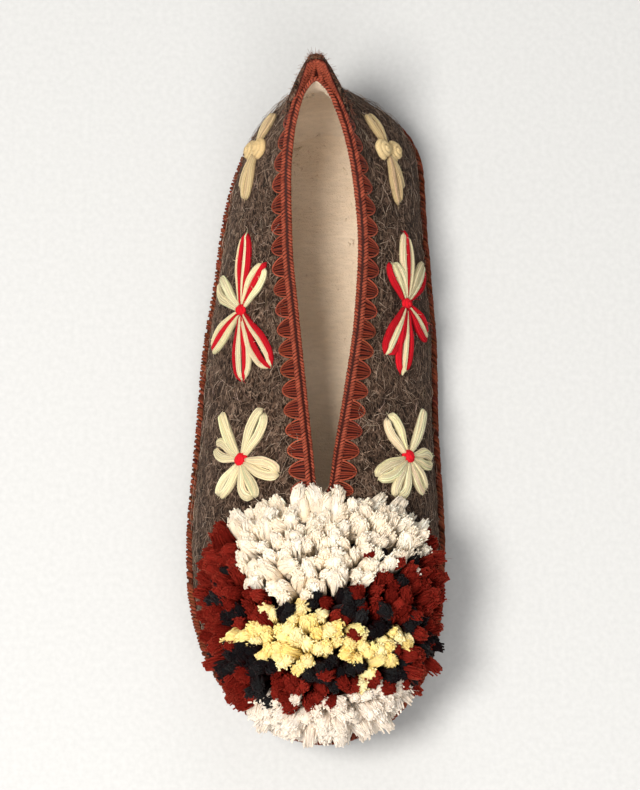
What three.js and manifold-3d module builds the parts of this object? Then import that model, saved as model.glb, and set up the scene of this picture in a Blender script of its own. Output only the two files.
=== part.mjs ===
// Wool slipper for the right foot, about size 38, in millimetres with +Z up.
// The toe points along -Y, the big-toe side lies along +X and the floor is the plane z = 0.
// The origin is the middle of the slipper's box, on the floor.
// Upper, seam, braid and flowers all follow one wall. It is a loop of sections round the sole, and
// each section rises from the sole's edge to the collar or, over the toes, to the closed ridge.
import * as THREE from "three";
import { ConvexGeometry } from "three/addons/geometries/ConvexGeometry.js";
import { mergeVertices } from "three/addons/utils/BufferGeometryUtils.js";
import Module from "manifold-3d";

const wasm = await Module();
wasm.setup();

// Driving dimensions
const SOLE_LENGTH = 246;
const SOLE_THICKNESS = 4.5;
const SOLE_LEDGE = 1.6; // the sole's edge stands out past the wall, under the seam
const SOLE_EDGE_ROUND = 1.2;
const ARCH = { from: 78, to: 146, rise: 2 }; // stations along the sole
const TOE_SPRING = { from: 204, rise: 6 };
const INSOLE_THICKNESS = 3;
const INSOLE_CLEARANCE = 0.5;
const FELT = 3.5; // fulled wool wall with its lining cloth
const SEAT = 0.3; // gap between pieces that lie on each other
const SEAM_HEIGHT = 4.6;
const SEAM_STAND = 2;

// The wall's sections, from the middle of the heel to the tip of the toe.
// station runs from the heel to the toe. lateral and medial are the sole's half widths there.
// topStation, ridge, gap and height place the section's top: the collar's edge lies gap to each
// side of the ridge line, and gap is 0 where the two sides meet. slope is the wall's angle there.
const SECTION_COLUMNS = ["station", "lateral", "medial", "topStation", "ridge", "gap", "height", "slope"];
const SECTION_ROWS = [
  [0, -2.5, 2.5, 13, -1.5, 0, 76, 76],
  [3.5, 12.5, 18, 16.5, -1.4, 5, 73.5, 75],
  [12, 22.5, 31, 24, -1, 8.5, 70, 70],
  [27, 30, 37, 34, -0.3, 11.3, 66, 62],
  [46, 34.8, 38, 48, 0.6, 13.2, 61, 53],
  [71, 38, 39.8, 71, 1.8, 13.9, 56, 44],
  [98, 42, 41.5, 97, 2.3, 12, 54, 38],
  [125, 44, 41.8, 125, 1.8, 8.7, 54, 30],
  [148, 46, 43, 148, 1.1, 5.6, 55, 20],
  [164, 47.2, 43.8, 163, 0.7, 3.6, 55.5, 10],
  [171, 47.5, 44, 168, 0.5, 0, 55.5, 0],
  [188, 47, 43.5, 184, 0.5, 0, 52.5, 0],
  [212, 41.5, 40, 204, 0.5, 0, 46, 4],
  [231, 29.5, 30.5, 218, 0.5, 0, 39, 14],
  [242, 15.5, 17.5, 226, 0.5, 0, 33.5, 26],
  [SOLE_LENGTH, -1, 1, 229, 0.5, 0, 31, 34],
];
const UPRIGHT = 0.5; // share of the wall's height that it starts straight up
const REACH = 0.4; // share of the wall's length over which its top slope is felt
const STEPS_PER_SECTION = 2;
const WALL_ROWS = 7;

// The collar braid: a plaited edge with a row of scallops, laid out from the collar's edge down
const SCALLOP_PITCH = 7.8;
const STEPS_PER_SCALLOP = 3;
const BRAID_END = 0.35; // sections short of the throat
const BRAID_SEAT = 0.6; // the braid bridges the collar's tightest turn
const BRAID = { overhang: 1.2, crest: 1.2, heel: 3.4, notch: 5.4, tip: 8.8 };
const BRAID_STAND = { overhang: 1.6, crest: 2.6, heel: 1.4, tip: 0.9 };
const TAB = { width: 11, tip: 6.5, length: 10.5, thickness: 4.5, lean: 40 };

// Yarn flowers. section and rise place the middle on the wall, rise running from sole to collar.
const FLOWER_COLUMNS = ["name", "side", "section", "rise", "kind"];
const FLOWER_ROWS = [
  ["flower_heel_lateral", -1, 3.05, 0.6, "sprig"],
  ["flower_heel_medial", 1, 3.05, 0.64, "sprig"],
  ["flower_side_lateral", -1, 5.75, 0.61, "star"],
  ["flower_side_medial", 1, 5.66, 0.615, "star"],
  ["flower_front_lateral", -1, 8.05, 0.63, "daisy"],
  ["flower_front_medial", 1, 7.94, 0.56, "daisy"],
];
// Petals as [angle, length]: the angle is measured from the toe's direction, up the wall.
const PETALS = {
  sprig: [[172, 17], [95, 7], [-95, 9], [-4, 21], [-27, 17]],
  star: [[1, 27], [38, 25], [138, 22], [178, 31], [-142, 20], [-48, 23]],
  daisy: [[29, 17], [82, 19], [148, 19], [-147, 19], [-100, 14], [-35, 16]],
};
const PETAL_WIDTH = { sprig: 6, star: 6.4, daisy: 7.4 };
const PETAL_STAND = { middle: 2, edge: 0.9 };
const PETAL_STEPS = 3;
const PETAL_TAPER = 0.15; // share of the leaf curve left off at each end, so that petals end blunt
const KNOT_RADIUS = 2.8;

// The pompom: an egg of yarn whose bundles radiate from its tie on the vamp
const POMPOM = { station: 208, height: 44, halfWidth: 46, halfLength: 46, halfHeight: 33 };
const POMPOM_CORE = 0.86; // share of the egg that is solid yarn
const POMPOM_HEM = 17; // the yarn ends this far above the floor
const TUFTS = 76;
const TUFT_ROOT = 0.6;
const TUFT_SPREAD = 0.05;
const TUFT_RADIUS = { root: 8, tip: 4.4 };
const TUFT_SIDES = 5;
const TUFT_LOWEST = -0.55; // direction below which no tuft starts
const BRAID_CLEARANCE = { until: 178, stand: 3.4 };
// Colour bundles as angles about the X axis, from the toe's direction upward, and their spread in x
const BUNDLES = [
  { name: "pompom_cream", from: 87, to: 205, spread: 1.3 },
  { name: "pompom_yellow", from: 55, to: 76, spread: 1.35 },
  { name: "pompom_white", from: -45, to: 24, spread: 1 },
];
const BUNDLE_REACH = 90;
const BUNDLE_STEPS = 6;
const BUNDLE_GAP = { angle: 1, tip: 2 }; // degrees between two bundles, and room at their common tip

const WELD = 1e-4;
const CUTTER = 400; // larger than the slipper

// Solids from triangles

function weld(geometry) {
  geometry.deleteAttribute("normal");
  geometry.deleteAttribute("uv");
  return mergeVertices(geometry, WELD);
}

function toSolid(geometry) {
  const welded = weld(geometry);
  const corners = welded.index.array;
  const kept = [];
  for (let i = 0; i < corners.length; i += 3) {
    const [a, b, c] = corners.slice(i, i + 3);
    if (a !== b && b !== c && c !== a) kept.push(a, b, c);
  }
  return new wasm.Manifold(
    new wasm.Mesh({
      numProp: 3,
      vertProperties: welded.attributes.position.array,
      triVerts: new Uint32Array(kept),
    }),
  );
}

function toGeometry(solid) {
  const mesh = solid.getMesh();
  const geometry = new THREE.BufferGeometry();
  geometry.setAttribute("position", new THREE.BufferAttribute(mesh.vertProperties, mesh.numProp));
  geometry.setIndex(new THREE.BufferAttribute(mesh.triVerts, 1));
  geometry.computeVertexNormals();
  return geometry;
}

function fromQuads(quads) {
  const corners = quads.flatMap(([a, b, c, d]) => [a, b, c, a, c, d]);
  const geometry = new THREE.BufferGeometry().setFromPoints(corners);
  return toSolid(geometry);
}

// Closed solid between two grids, each a function of (column, row). Columns run round the slipper
// and rows up the wall. seamed(column) is true where the top rim closes on the other side instead.
function between(columns, rows, outer, inner, { loop = false, seamed = () => false } = {}) {
  const quads = [];
  for (let i = 0; i < columns; i++) {
    for (let j = 0; j < rows; j++) {
      quads.push([outer(i, j), outer(i + 1, j), outer(i + 1, j + 1), outer(i, j + 1)]);
      quads.push([inner(i, j), inner(i, j + 1), inner(i + 1, j + 1), inner(i + 1, j)]);
    }
    quads.push([outer(i + 1, 0), outer(i, 0), inner(i, 0), inner(i + 1, 0)]);
    if (!seamed(i)) {
      quads.push([outer(i, rows), outer(i + 1, rows), inner(i + 1, rows), inner(i, rows)]);
    }
  }
  for (let j = 0; j < rows && !loop; j++) {
    quads.push([outer(0, j), outer(0, j + 1), inner(0, j + 1), inner(0, j)]);
    quads.push([inner(columns, j), inner(columns, j + 1), outer(columns, j + 1), outer(columns, j)]);
  }
  return fromQuads(quads);
}

// The main body of a solid, without the crumbs that a cut leaves beside it
function mainBody(solid) {
  return solid.decompose().reduce((most, body) => (body.volume() > most.volume() ? body : most));
}

// The sole's surfaces along its length

function soleBottom(station) {
  if (station > ARCH.from && station < ARCH.to) {
    const turn = (station - ARCH.from) / (ARCH.to - ARCH.from);
    return ARCH.rise * 0.5 * (1 - Math.cos(2 * Math.PI * turn));
  }
  const spring = Math.max(0, (station - TOE_SPRING.from) / (SOLE_LENGTH - TOE_SPRING.from));
  return TOE_SPRING.rise * spring * spring;
}

const soleTop = (station) => soleBottom(station) + SOLE_THICKNESS;

// The wall: its sections taken once round the loop, lateral side first

const SECTIONS = SECTION_ROWS.map((row) =>
  Object.fromEntries(SECTION_COLUMNS.map((column, i) => [column, row[i]])),
);
const TOE = SECTIONS.length - 1;
const LOOP = 2 * TOE;
const THROAT = SECTIONS.findIndex((section, i) => i > 0 && section.gap === 0);

function roundLoop(pick) {
  return Array.from({ length: LOOP }, (_, k) =>
    k <= TOE ? pick(SECTIONS[k], -1) : pick(SECTIONS[LOOP - k], 1),
  );
}

const WALL = {
  baseX: roundLoop((section, side) => (side < 0 ? -section.lateral : section.medial)),
  station: roundLoop((section) => section.station),
  topX: roundLoop((section, side) => section.ridge + side * section.gap),
  topStation: roundLoop((section) => section.topStation),
  height: roundLoop((section) => section.height),
  slope: roundLoop((section) => section.slope),
};

// Smooth value between sections that never overshoots them
function along(values, u) {
  const at = (k) => values[((k % LOOP) + LOOP) % LOOP];
  const tangent = (k) => {
    const before = at(k) - at(k - 1);
    const after = at(k + 1) - at(k);
    return before * after > 0 ? (2 * before * after) / (before + after) : 0;
  };
  const k = Math.floor(u);
  const f = u - k;
  const g = 1 - f;
  const ends = at(k) * (1 + 2 * f) * g * g + at(k + 1) * (1 + 2 * g) * f * f;
  return ends + tangent(k) * f * g * g - tangent(k + 1) * f * f * g;
}

const isVamp = (u) => {
  const k = ((u % LOOP) + LOOP) % LOOP;
  return k >= THROAT && k <= LOOP - THROAT;
};

// The wall's section at u as a curve from sole to top, stood off outward by offset
function wallCurve(u, offset) {
  const foot = new THREE.Vector3(along(WALL.baseX, u), -along(WALL.station, u), 0);
  const top = new THREE.Vector3(along(WALL.topX, u), -along(WALL.topStation, u), 0);
  const inward = top.clone().sub(foot).normalize();
  const up = new THREE.Vector3(0, 0, 1);
  const slope = THREE.MathUtils.degToRad(along(WALL.slope, u));
  const tilt = isVamp(u) ? 0 : slope;
  foot.addScaledVector(inward, -offset);
  foot.z = soleTop(-foot.y) + SEAT;
  top.z = along(WALL.height, u);
  top.addScaledVector(inward, -offset * Math.sin(tilt)).addScaledVector(up, offset * Math.cos(tilt));
  const lower = foot.clone().addScaledVector(up, UPRIGHT * (top.z - foot.z));
  const pull = REACH * foot.distanceTo(top);
  const upper = top.clone().addScaledVector(inward, -pull * Math.cos(slope));
  upper.addScaledVector(up, -pull * Math.sin(slope));
  return new THREE.CubicBezierCurve3(foot, lower, upper, top);
}

const wallPoint = (u, v, offset) => wallCurve(u, offset).getPoint(v);

// Point on the wall this far below the collar's edge, measured down the wall
function belowCollar(u, distance, offset) {
  const curve = wallCurve(u, offset);
  const speed = 3 * curve.v2.distanceTo(curve.v3);
  return curve.getPoint(1 - distance / speed);
}

const COLUMNS = LOOP * STEPS_PER_SECTION;
const columnU = (i) => i / STEPS_PER_SECTION;

// Sole, insole, upper and seam

// A slab that fills an outline round the foot, between two heights over the sole's own curve
function footbed(rings) {
  const ring = (i, { offset, z }) => {
    const point = wallPoint(columnU(i), 0, offset);
    return point.setZ(z(-point.y));
  };
  const quads = [];
  for (let i = 0; i < COLUMNS; i++) {
    for (let j = 0; j + 1 < rings.length; j++) {
      const [low, high] = [rings[j], rings[j + 1]];
      quads.push([ring(i, low), ring(i + 1, low), ring(i + 1, high), ring(i, high)]);
    }
  }
  const [bottom, top] = [rings[0], rings[rings.length - 1]];
  for (let i = 0; i < COLUMNS / 2; i++) {
    const far = COLUMNS - i;
    quads.push([ring(i, top), ring(i + 1, top), ring(far - 1, top), ring(far, top)]);
    quads.push([ring(far, bottom), ring(far - 1, bottom), ring(i + 1, bottom), ring(i, bottom)]);
  }
  return fromQuads(quads);
}

function outsole() {
  return footbed([
    { offset: SOLE_LEDGE - SOLE_EDGE_ROUND, z: soleBottom },
    { offset: SOLE_LEDGE, z: (station) => soleBottom(station) + SOLE_EDGE_ROUND },
    { offset: SOLE_LEDGE, z: soleTop },
  ]);
}

function insole() {
  const offset = -FELT - INSOLE_CLEARANCE;
  const bottom = (station) => soleTop(station) + SEAT;
  return footbed([
    { offset, z: bottom },
    { offset, z: (station) => bottom(station) + INSOLE_THICKNESS },
  ]);
}

function upper() {
  const outer = (i, j) => wallPoint(columnU(i), j / WALL_ROWS, 0);
  const inner = (i, j) => wallPoint(columnU(i), j / WALL_ROWS, -FELT);
  const seamed = (i) => isVamp(columnU(i)) && isVamp(columnU(i + 1));
  return between(COLUMNS, WALL_ROWS, outer, inner, { loop: true, seamed });
}

// The wall filled solid, to cut what lies over it
function filledWall(offset) {
  const point = (i, j) => wallPoint(columnU(i), j / WALL_ROWS, offset);
  const quads = [];
  for (let i = 0; i < COLUMNS; i++) {
    for (let j = 0; j < WALL_ROWS; j++) {
      quads.push([point(i, j), point(i + 1, j), point(i + 1, j + 1), point(i, j + 1)]);
    }
  }
  for (let i = 0; i < COLUMNS / 2; i++) {
    const far = COLUMNS - i;
    quads.push([point(far, 0), point(far - 1, 0), point(i + 1, 0), point(i, 0)]);
    if (columnU(i) < THROAT) {
      const [a, b] = [point(i, WALL_ROWS), point(i + 1, WALL_ROWS)];
      quads.push([a, b, point(far - 1, WALL_ROWS), point(far, WALL_ROWS)]);
    }
  }
  return fromQuads(quads);
}

// The seam is a rounded ridge on the foot of the wall, over the sole's ledge
function soleSeam() {
  const rows = [
    { rise: 0.1, stand: 0.7 },
    { rise: 0.5, stand: 1 },
    { rise: 1, stand: 0.5 },
  ];
  const point = (i, j, stand) => {
    const curve = wallCurve(columnU(i), SEAT + stand);
    const speed = 3 * curve.v0.distanceTo(curve.v1);
    return curve.getPoint((rows[j].rise * SEAM_HEIGHT) / speed);
  };
  const outer = (i, j) => point(i, j, rows[j].stand * SEAM_STAND);
  const inner = (i, j) => point(i, j, 0);
  return between(COLUMNS, rows.length - 1, outer, inner, { loop: true });
}

// Collar braid and its tab

// Positions that divide the collar evenly, from the medial throat round the heel to the lateral
function collarSteps() {
  const from = LOOP - THROAT + BRAID_END;
  const to = LOOP + THROAT - BRAID_END;
  const samples = 40 * THROAT;
  const us = Array.from({ length: samples + 1 }, (_, k) => from + ((to - from) * k) / samples);
  const points = us.map((u) => wallPoint(u, 1, 0));
  const lengths = [0];
  for (let k = 1; k < points.length; k++) {
    lengths.push(lengths[k - 1] + points[k].distanceTo(points[k - 1]));
  }
  const total = lengths[samples];
  const steps = Math.round(total / SCALLOP_PITCH) * STEPS_PER_SCALLOP;
  return Array.from({ length: steps + 1 }, (_, i) => {
    const wanted = (total * i) / steps;
    return us[lengths.findIndex((length) => length >= wanted - WELD)];
  });
}

function collarBraid() {
  const steps = collarSteps();
  const rows = (i) => [
    { down: i % STEPS_PER_SCALLOP === 0 ? BRAID.notch : BRAID.tip, stand: BRAID_STAND.tip },
    { down: BRAID.heel, stand: BRAID_STAND.heel },
    { down: BRAID.crest, stand: BRAID_STAND.crest },
    { down: -BRAID.overhang, stand: BRAID_STAND.overhang },
  ];
  const outer = (i, j) => belowCollar(steps[i], rows(i)[j].down, BRAID_SEAT + rows(i)[j].stand);
  const inner = (i, j) => belowCollar(steps[i], rows(i)[j].down, BRAID_SEAT);
  return between(steps.length - 1, rows(0).length - 1, outer, inner);
}

// A plain band that holds the braid with a little room round it
function braidSpace() {
  const steps = collarSteps();
  const downs = [BRAID.tip + SEAT, -BRAID.overhang - SEAT];
  const outer = (i, j) => belowCollar(steps[i], downs[j], 2 * BRAID_STAND.crest);
  const inner = (i, j) => belowCollar(steps[i], downs[j], 0);
  return between(steps.length - 1, 1, outer, inner);
}

// The braid's joined ends, folded into a tapered tab that leans back over the heel
function heelTab() {
  const half = TAB.width / 2;
  const tip = TAB.tip / 2;
  const outline = new THREE.Shape();
  outline.moveTo(-half, 0);
  outline.lineTo(half, 0);
  outline.lineTo(tip, TAB.length - tip);
  outline.absarc(0, TAB.length - tip, tip, 0, Math.PI);
  outline.closePath();
  const geometry = new THREE.ExtrudeGeometry(outline, {
    depth: TAB.thickness,
    bevelEnabled: false,
    curveSegments: 8,
  });
  geometry.translate(0, 0, -TAB.thickness / 2);
  geometry.rotateX(THREE.MathUtils.degToRad(90 - TAB.lean));
  const seat = wallPoint(0, 1, 0);
  const lift = BRAID_SEAT + BRAID_STAND.crest + SEAT;
  geometry.translate(seat.x, seat.y, seat.z + lift);
  return toSolid(geometry).subtract(filledWall(lift));
}

// Flowers

function flower({ side, section, rise, kind }) {
  const middle = side < 0 ? section : LOOP - section;
  const nudge = 0.01;
  const start = wallPoint(middle, rise, 0);
  const uPerMm = nudge / start.distanceTo(wallPoint(middle + nudge, rise, 0));
  const vPerMm = nudge / start.distanceTo(wallPoint(middle, rise + nudge, 0));
  const onWall = (ahead, up, stand) =>
    wallPoint(middle - side * ahead * uPerMm, rise + up * vPerMm, SEAT + stand);

  // A leaf-shaped patch on the wall, crowned along its middle
  const patch = (angle, from, to, width) => {
    const turn = THREE.MathUtils.degToRad(angle);
    const point = (i, j, stand) => {
      const t = i / PETAL_STEPS;
      const out = from + (to - from) * t;
      const leaf = Math.sin(Math.PI * THREE.MathUtils.lerp(PETAL_TAPER, 1 - PETAL_TAPER, t));
      const across = ((j - 1) * width * leaf) / 2;
      const ahead = out * Math.cos(turn) - across * Math.sin(turn);
      return onWall(ahead, out * Math.sin(turn) + across * Math.cos(turn), stand);
    };
    const outer = (i, j) => point(i, j, j === 1 ? PETAL_STAND.middle : PETAL_STAND.edge);
    const inner = (i, j) => point(i, j, 0);
    const [top, bottom] = side < 0 ? [outer, inner] : [inner, outer];
    return between(PETAL_STEPS, 2, top, bottom);
  };

  const width = PETAL_WIDTH[kind];
  const petals = PETALS[kind].map(([angle, length]) => patch(angle, 0, length, width));
  const knot = patch(90, -KNOT_RADIUS, KNOT_RADIUS, 2 * KNOT_RADIUS);
  const bloom = petals.reduce((whole, petal) => whole.add(petal), knot);
  return mainBody(bloom.subtract(braidSpace()));
}

// Pompom

const POMPOM_MIDDLE = new THREE.Vector3(0, -POMPOM.station, POMPOM.height);
const POMPOM_HALVES = new THREE.Vector3(POMPOM.halfWidth, POMPOM.halfLength, POMPOM.halfHeight);

// Directions spread evenly over a ball
function evenDirections(count) {
  const golden = Math.PI * (3 - Math.sqrt(5));
  return Array.from({ length: count }, (_, i) => {
    const z = 1 - (2 * i + 1) / count;
    const flat = Math.sqrt(1 - z * z);
    return new THREE.Vector3(flat * Math.cos(i * golden), flat * Math.sin(i * golden), z);
  });
}

// One bundle of yarn ends, along a ray from the pompom's middle
function tuft(direction, reach) {
  const tip = direction.clone().multiply(POMPOM_HALVES).multiplyScalar(reach);
  const root = tip.clone().multiplyScalar(TUFT_ROOT);
  const length = root.distanceTo(tip);
  const geometry = new THREE.CylinderGeometry(TUFT_RADIUS.tip, TUFT_RADIUS.root, length, TUFT_SIDES, 1);
  const turn = new THREE.Quaternion().setFromUnitVectors(
    new THREE.Vector3(0, 1, 0),
    tip.clone().normalize(),
  );
  geometry.applyQuaternion(turn);
  const middle = root.add(tip).multiplyScalar(0.5).add(POMPOM_MIDDLE);
  geometry.translate(middle.x, middle.y, middle.z);
  return toSolid(geometry);
}

// A block larger than the slipper, with its middle at y and z
function block(y, z) {
  return toSolid(new THREE.BoxGeometry(CUTTER, CUTTER, CUTTER).translate(0, y, z));
}

function wholePompom() {
  const core = new THREE.SphereGeometry(POMPOM_CORE, 16, 10);
  core.scale(POMPOM_HALVES.x, POMPOM_HALVES.y, POMPOM_HALVES.z);
  core.translate(POMPOM_MIDDLE.x, POMPOM_MIDDLE.y, POMPOM_MIDDLE.z);
  let yarn = toSolid(core);
  evenDirections(TUFTS).forEach((direction, i) => {
    if (direction.z < TUFT_LOWEST) return;
    yarn = yarn.add(tuft(direction, 1 + TUFT_SPREAD * Math.sin(i)));
  });
  const belowHem = block(0, POMPOM_HEM - CUTTER / 2);
  const overBraid = block(CUTTER / 2 - BRAID_CLEARANCE.until, 0);
  const clearance = filledWall(BRAID_CLEARANCE.stand).intersect(overBraid);
  return yarn.subtract(belowHem).subtract(filledWall(SEAT)).subtract(clearance);
}

// The space of one colour bundle: a fan of rays from the pompom's middle, grown by a gap
function bundleSpace({ from, to, spread }, gap) {
  const ray = (angle, length, x) => {
    const turn = THREE.MathUtils.degToRad(angle);
    const along = new THREE.Vector3(x, -length * Math.cos(turn), length * Math.sin(turn));
    return along.add(POMPOM_MIDDLE);
  };
  const points = [ray((from + to) / 2, -gap.tip, 0)];
  const side = BUNDLE_REACH * (spread + 2 * THREE.MathUtils.degToRad(gap.angle));
  for (let i = 0; i <= BUNDLE_STEPS; i++) {
    const angle = THREE.MathUtils.lerp(from - gap.angle, to + gap.angle, i / BUNDLE_STEPS);
    points.push(ray(angle, BUNDLE_REACH, side), ray(angle, BUNDLE_REACH, -side));
  }
  return toSolid(new ConvexGeometry(points));
}

function pompomBundles() {
  const whole = wholePompom();
  const bundles = {};
  let rest = whole;
  for (const bundle of BUNDLES) {
    bundles[bundle.name] = mainBody(whole.intersect(bundleSpace(bundle, { angle: 0, tip: 0 })));
    rest = rest.subtract(bundleSpace(bundle, BUNDLE_GAP));
  }
  return { ...bundles, pompom_rust: mainBody(rest) };
}

// Assembly

const cloth = (color, roughness = 0.95) => new THREE.MeshStandardMaterial({ color, roughness, metalness: 0 });
const FELT_BROWN = cloth(0x4a3d35);
const FLEECE = cloth(0xe6dac2);
const SUEDE = cloth(0x5a4a3c, 0.9);
const RUST = cloth(0x9c3a24);
const CREAM = cloth(0xe9dcae);
const RED = cloth(0xa82a20);
const YELLOW = cloth(0xd8a93a);
const WHITE = cloth(0xeee8dc);

const slipper = new THREE.Group();

function place(name, solid, material) {
  const mesh = new THREE.Mesh(toGeometry(solid), material);
  mesh.name = name;
  slipper.add(mesh);
}

place("outsole", outsole(), SUEDE);
place("insole", insole(), FLEECE);
place("upper", upper(), FELT_BROWN);
place("sole_seam", soleSeam(), RUST);
place("collar_braid", collarBraid(), RUST);
place("heel_tab", heelTab(), RUST);
for (const row of FLOWER_ROWS) {
  const bloom = Object.fromEntries(FLOWER_COLUMNS.map((column, i) => [column, row[i]]));
  place(bloom.name, flower(bloom), bloom.kind === "star" ? RED : CREAM);
}
const POMPOM_COLOURS = {
  pompom_cream: CREAM,
  pompom_yellow: YELLOW,
  pompom_white: WHITE,
  pompom_rust: RUST,
};
for (const [name, solid] of Object.entries(pompomBundles())) {
  place(name, solid, POMPOM_COLOURS[name]);
}

const bounds = new THREE.Box3().setFromObject(slipper);
const centre = bounds.getCenter(new THREE.Vector3());
slipper.position.set(-centre.x, -centre.y, -bounds.min.z);

const part = new THREE.Group();
part.add(slipper);

export default part;
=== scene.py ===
"""Looks of a wool slipper: felt, fleece, gimp braid, yarn flowers and a yarn pompom.

Lengths are millimetres in the slipper's own frame, as in the part's source: the toe points along -Y,
the big-toe side lies along +X and the heel's back is at y = 0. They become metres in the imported
frame when a mesh is made.
"""

import math
from collections import namedtuple

import bmesh
import bpy
import numpy as np
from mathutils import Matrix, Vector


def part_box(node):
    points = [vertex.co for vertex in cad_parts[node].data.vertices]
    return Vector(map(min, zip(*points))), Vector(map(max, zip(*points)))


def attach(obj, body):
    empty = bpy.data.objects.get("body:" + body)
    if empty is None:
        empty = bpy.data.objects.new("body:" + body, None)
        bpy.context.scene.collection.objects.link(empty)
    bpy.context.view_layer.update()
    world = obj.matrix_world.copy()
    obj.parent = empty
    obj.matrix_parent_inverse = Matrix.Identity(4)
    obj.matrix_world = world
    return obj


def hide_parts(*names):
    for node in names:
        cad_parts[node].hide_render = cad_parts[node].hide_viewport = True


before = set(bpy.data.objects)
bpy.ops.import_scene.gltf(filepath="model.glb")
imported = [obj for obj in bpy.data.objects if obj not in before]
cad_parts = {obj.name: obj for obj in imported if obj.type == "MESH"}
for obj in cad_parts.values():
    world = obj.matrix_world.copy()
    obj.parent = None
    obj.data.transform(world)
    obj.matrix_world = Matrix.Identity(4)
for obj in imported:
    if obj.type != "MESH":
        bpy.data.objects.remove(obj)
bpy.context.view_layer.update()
MM = 0.001
rng = np.random.default_rng(38)

# Sizes of the solids
SOLE_LENGTH = 246.0
SOLE_THICKNESS = 4.5
SOLE_LEDGE = 1.6
SOLE_EDGE_ROUND = 1.2
ARCH = {"from": 78.0, "to": 146.0, "rise": 2.0}
TOE_SPRING = {"from": 204.0, "rise": 6.0}
INSOLE_THICKNESS = 3.0
INSOLE_SUNK = 0.35  # how far its ground lies under the solid's top, to leave room for its pile
INSOLE_BULGE = 0.3  # of its side, half way up
WALL_THICKNESS = 3.5
INSOLE_EDGE = 0.1 - WALL_THICKNESS
LINING_FLARE = 9.0  # radius of the lining's curve over the edge of the insole
SEAT = 0.3
STEPS_PER_SECTION = 2
UPRIGHT = 0.5  # share of the wall's rise that its lower handle stands up
REACH = 0.4  # share of the wall's span that its upper handle reaches back
LENGTH_STEPS = {"foot": 6001, "collar": 4001}  # for measuring along the wall

# The wall's sections from the middle of the heel to the tip of the toe
SECTION_COLUMNS = ("station", "lateral", "medial", "top_station", "ridge", "gap", "height", "slope")
SECTION_ROWS = (
    (0, -2.5, 2.5, 13, -1.5, 0, 76, 76),
    (3.5, 12.5, 18, 16.5, -1.4, 5, 73.5, 75),
    (12, 22.5, 31, 24, -1, 8.5, 70, 70),
    (27, 30, 37, 34, -0.3, 11.3, 66, 62),
    (46, 34.8, 38, 48, 0.6, 13.2, 61, 53),
    (71, 38, 39.8, 71, 1.8, 13.9, 56, 44),
    (98, 42, 41.5, 97, 2.3, 12, 54, 38),
    (125, 44, 41.8, 125, 1.8, 8.7, 54, 30),
    (148, 46, 43, 148, 1.1, 5.6, 55, 20),
    (164, 47.2, 43.8, 163, 0.7, 3.6, 55.5, 10),
    (171, 47.5, 44, 168, 0.5, 0, 55.5, 0),
    (188, 47, 43.5, 184, 0.5, 0, 52.5, 0),
    (212, 41.5, 40, 204, 0.5, 0, 46, 4),
    (231, 29.5, 30.5, 218, 0.5, 0, 39, 14),
    (242, 15.5, 17.5, 226, 0.5, 0, 33.5, 26),
    (SOLE_LENGTH, -1, 1, 229, 0.5, 0, 31, 34),
)
SECTIONS = {name: np.array(values, float) for name, values in zip(SECTION_COLUMNS, zip(*SECTION_ROWS))}
TOE = len(SECTION_ROWS) - 1
LOOP = 2 * TOE
THROAT = 1 + int(np.argmax(SECTIONS["gap"][1:] == 0))

# Cloth layers and their fineness
FELT_LAYER = 2.1
# The braid pinches the collar by a share of its thickness, from a height of the wall upward. The pinch
# is whole and has gone at so many sections before the throat.
COLLAR_PINCH = {"share": 0.5, "from": 0.86, "whole": 1.2, "none": 0.3}
COLUMNS_PER_SECTION = 14
COLUMNS = LOOP * COLUMNS_PER_SECTION
COLUMN_U = np.arange(COLUMNS) / COLUMNS_PER_SECTION
WALL_ROWS = 40
HIDDEN_ROWS = 9  # up the side of a layer that another covers
FELT_HAIRS = (
    {"name": "felt_hairs_low", "count": 4800, "length": 5.0, "radius": 0.075, "lift": 0.5, "steps": 3},
    {"name": "felt_hairs_loose", "count": 1500, "length": 8.0, "radius": 0.06, "lift": 1.6, "steps": 4},
)
# Lowest and highest hairs up the wall, the highest on the vamp, and how far their headings differ
FELT_HAIR = {"low": 0.06, "high": 0.97, "vamp": 0.5, "spread": 2.0}
FELT_HAIR_SIZES = {"length": (0.5, 1.4), "radius": (0.7, 1.3), "lift": (0.15, 1.0)}
HAIR = {"tries": 12, "curl": 0.9, "thinner": 0.75}
PILE_COLUMNS = ("count", "low", "high", "length")
PILE_ROWS = ((1700, 0.17, 0.98, 2.4), (500, 0.965, 1.0, 1.0))  # over the lining and along the collar
PILE = {"radius": 0.22, "sunk": 0.25, "lift": (0.03, 0.18), "steps": 4}
PILE_SIZES = {"length": (0.7, 1.3), "radius": (0.8, 1.2)}
PILE_PLACE = {"vamp": 0.6, "spread": 0.5}  # highest on the vamp, and how far its headings differ
INSOLE_PILE = {"count": 1000, "length": (1.2, 2.4), "sunk": 0.2, "spread": 0.8, "rise": 0.35, "hump": 0.275}
INSOLE_HAIR = {"radius": 0.2, "thinner": 0.7, "flat": 0.8, "steps": 4}

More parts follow.
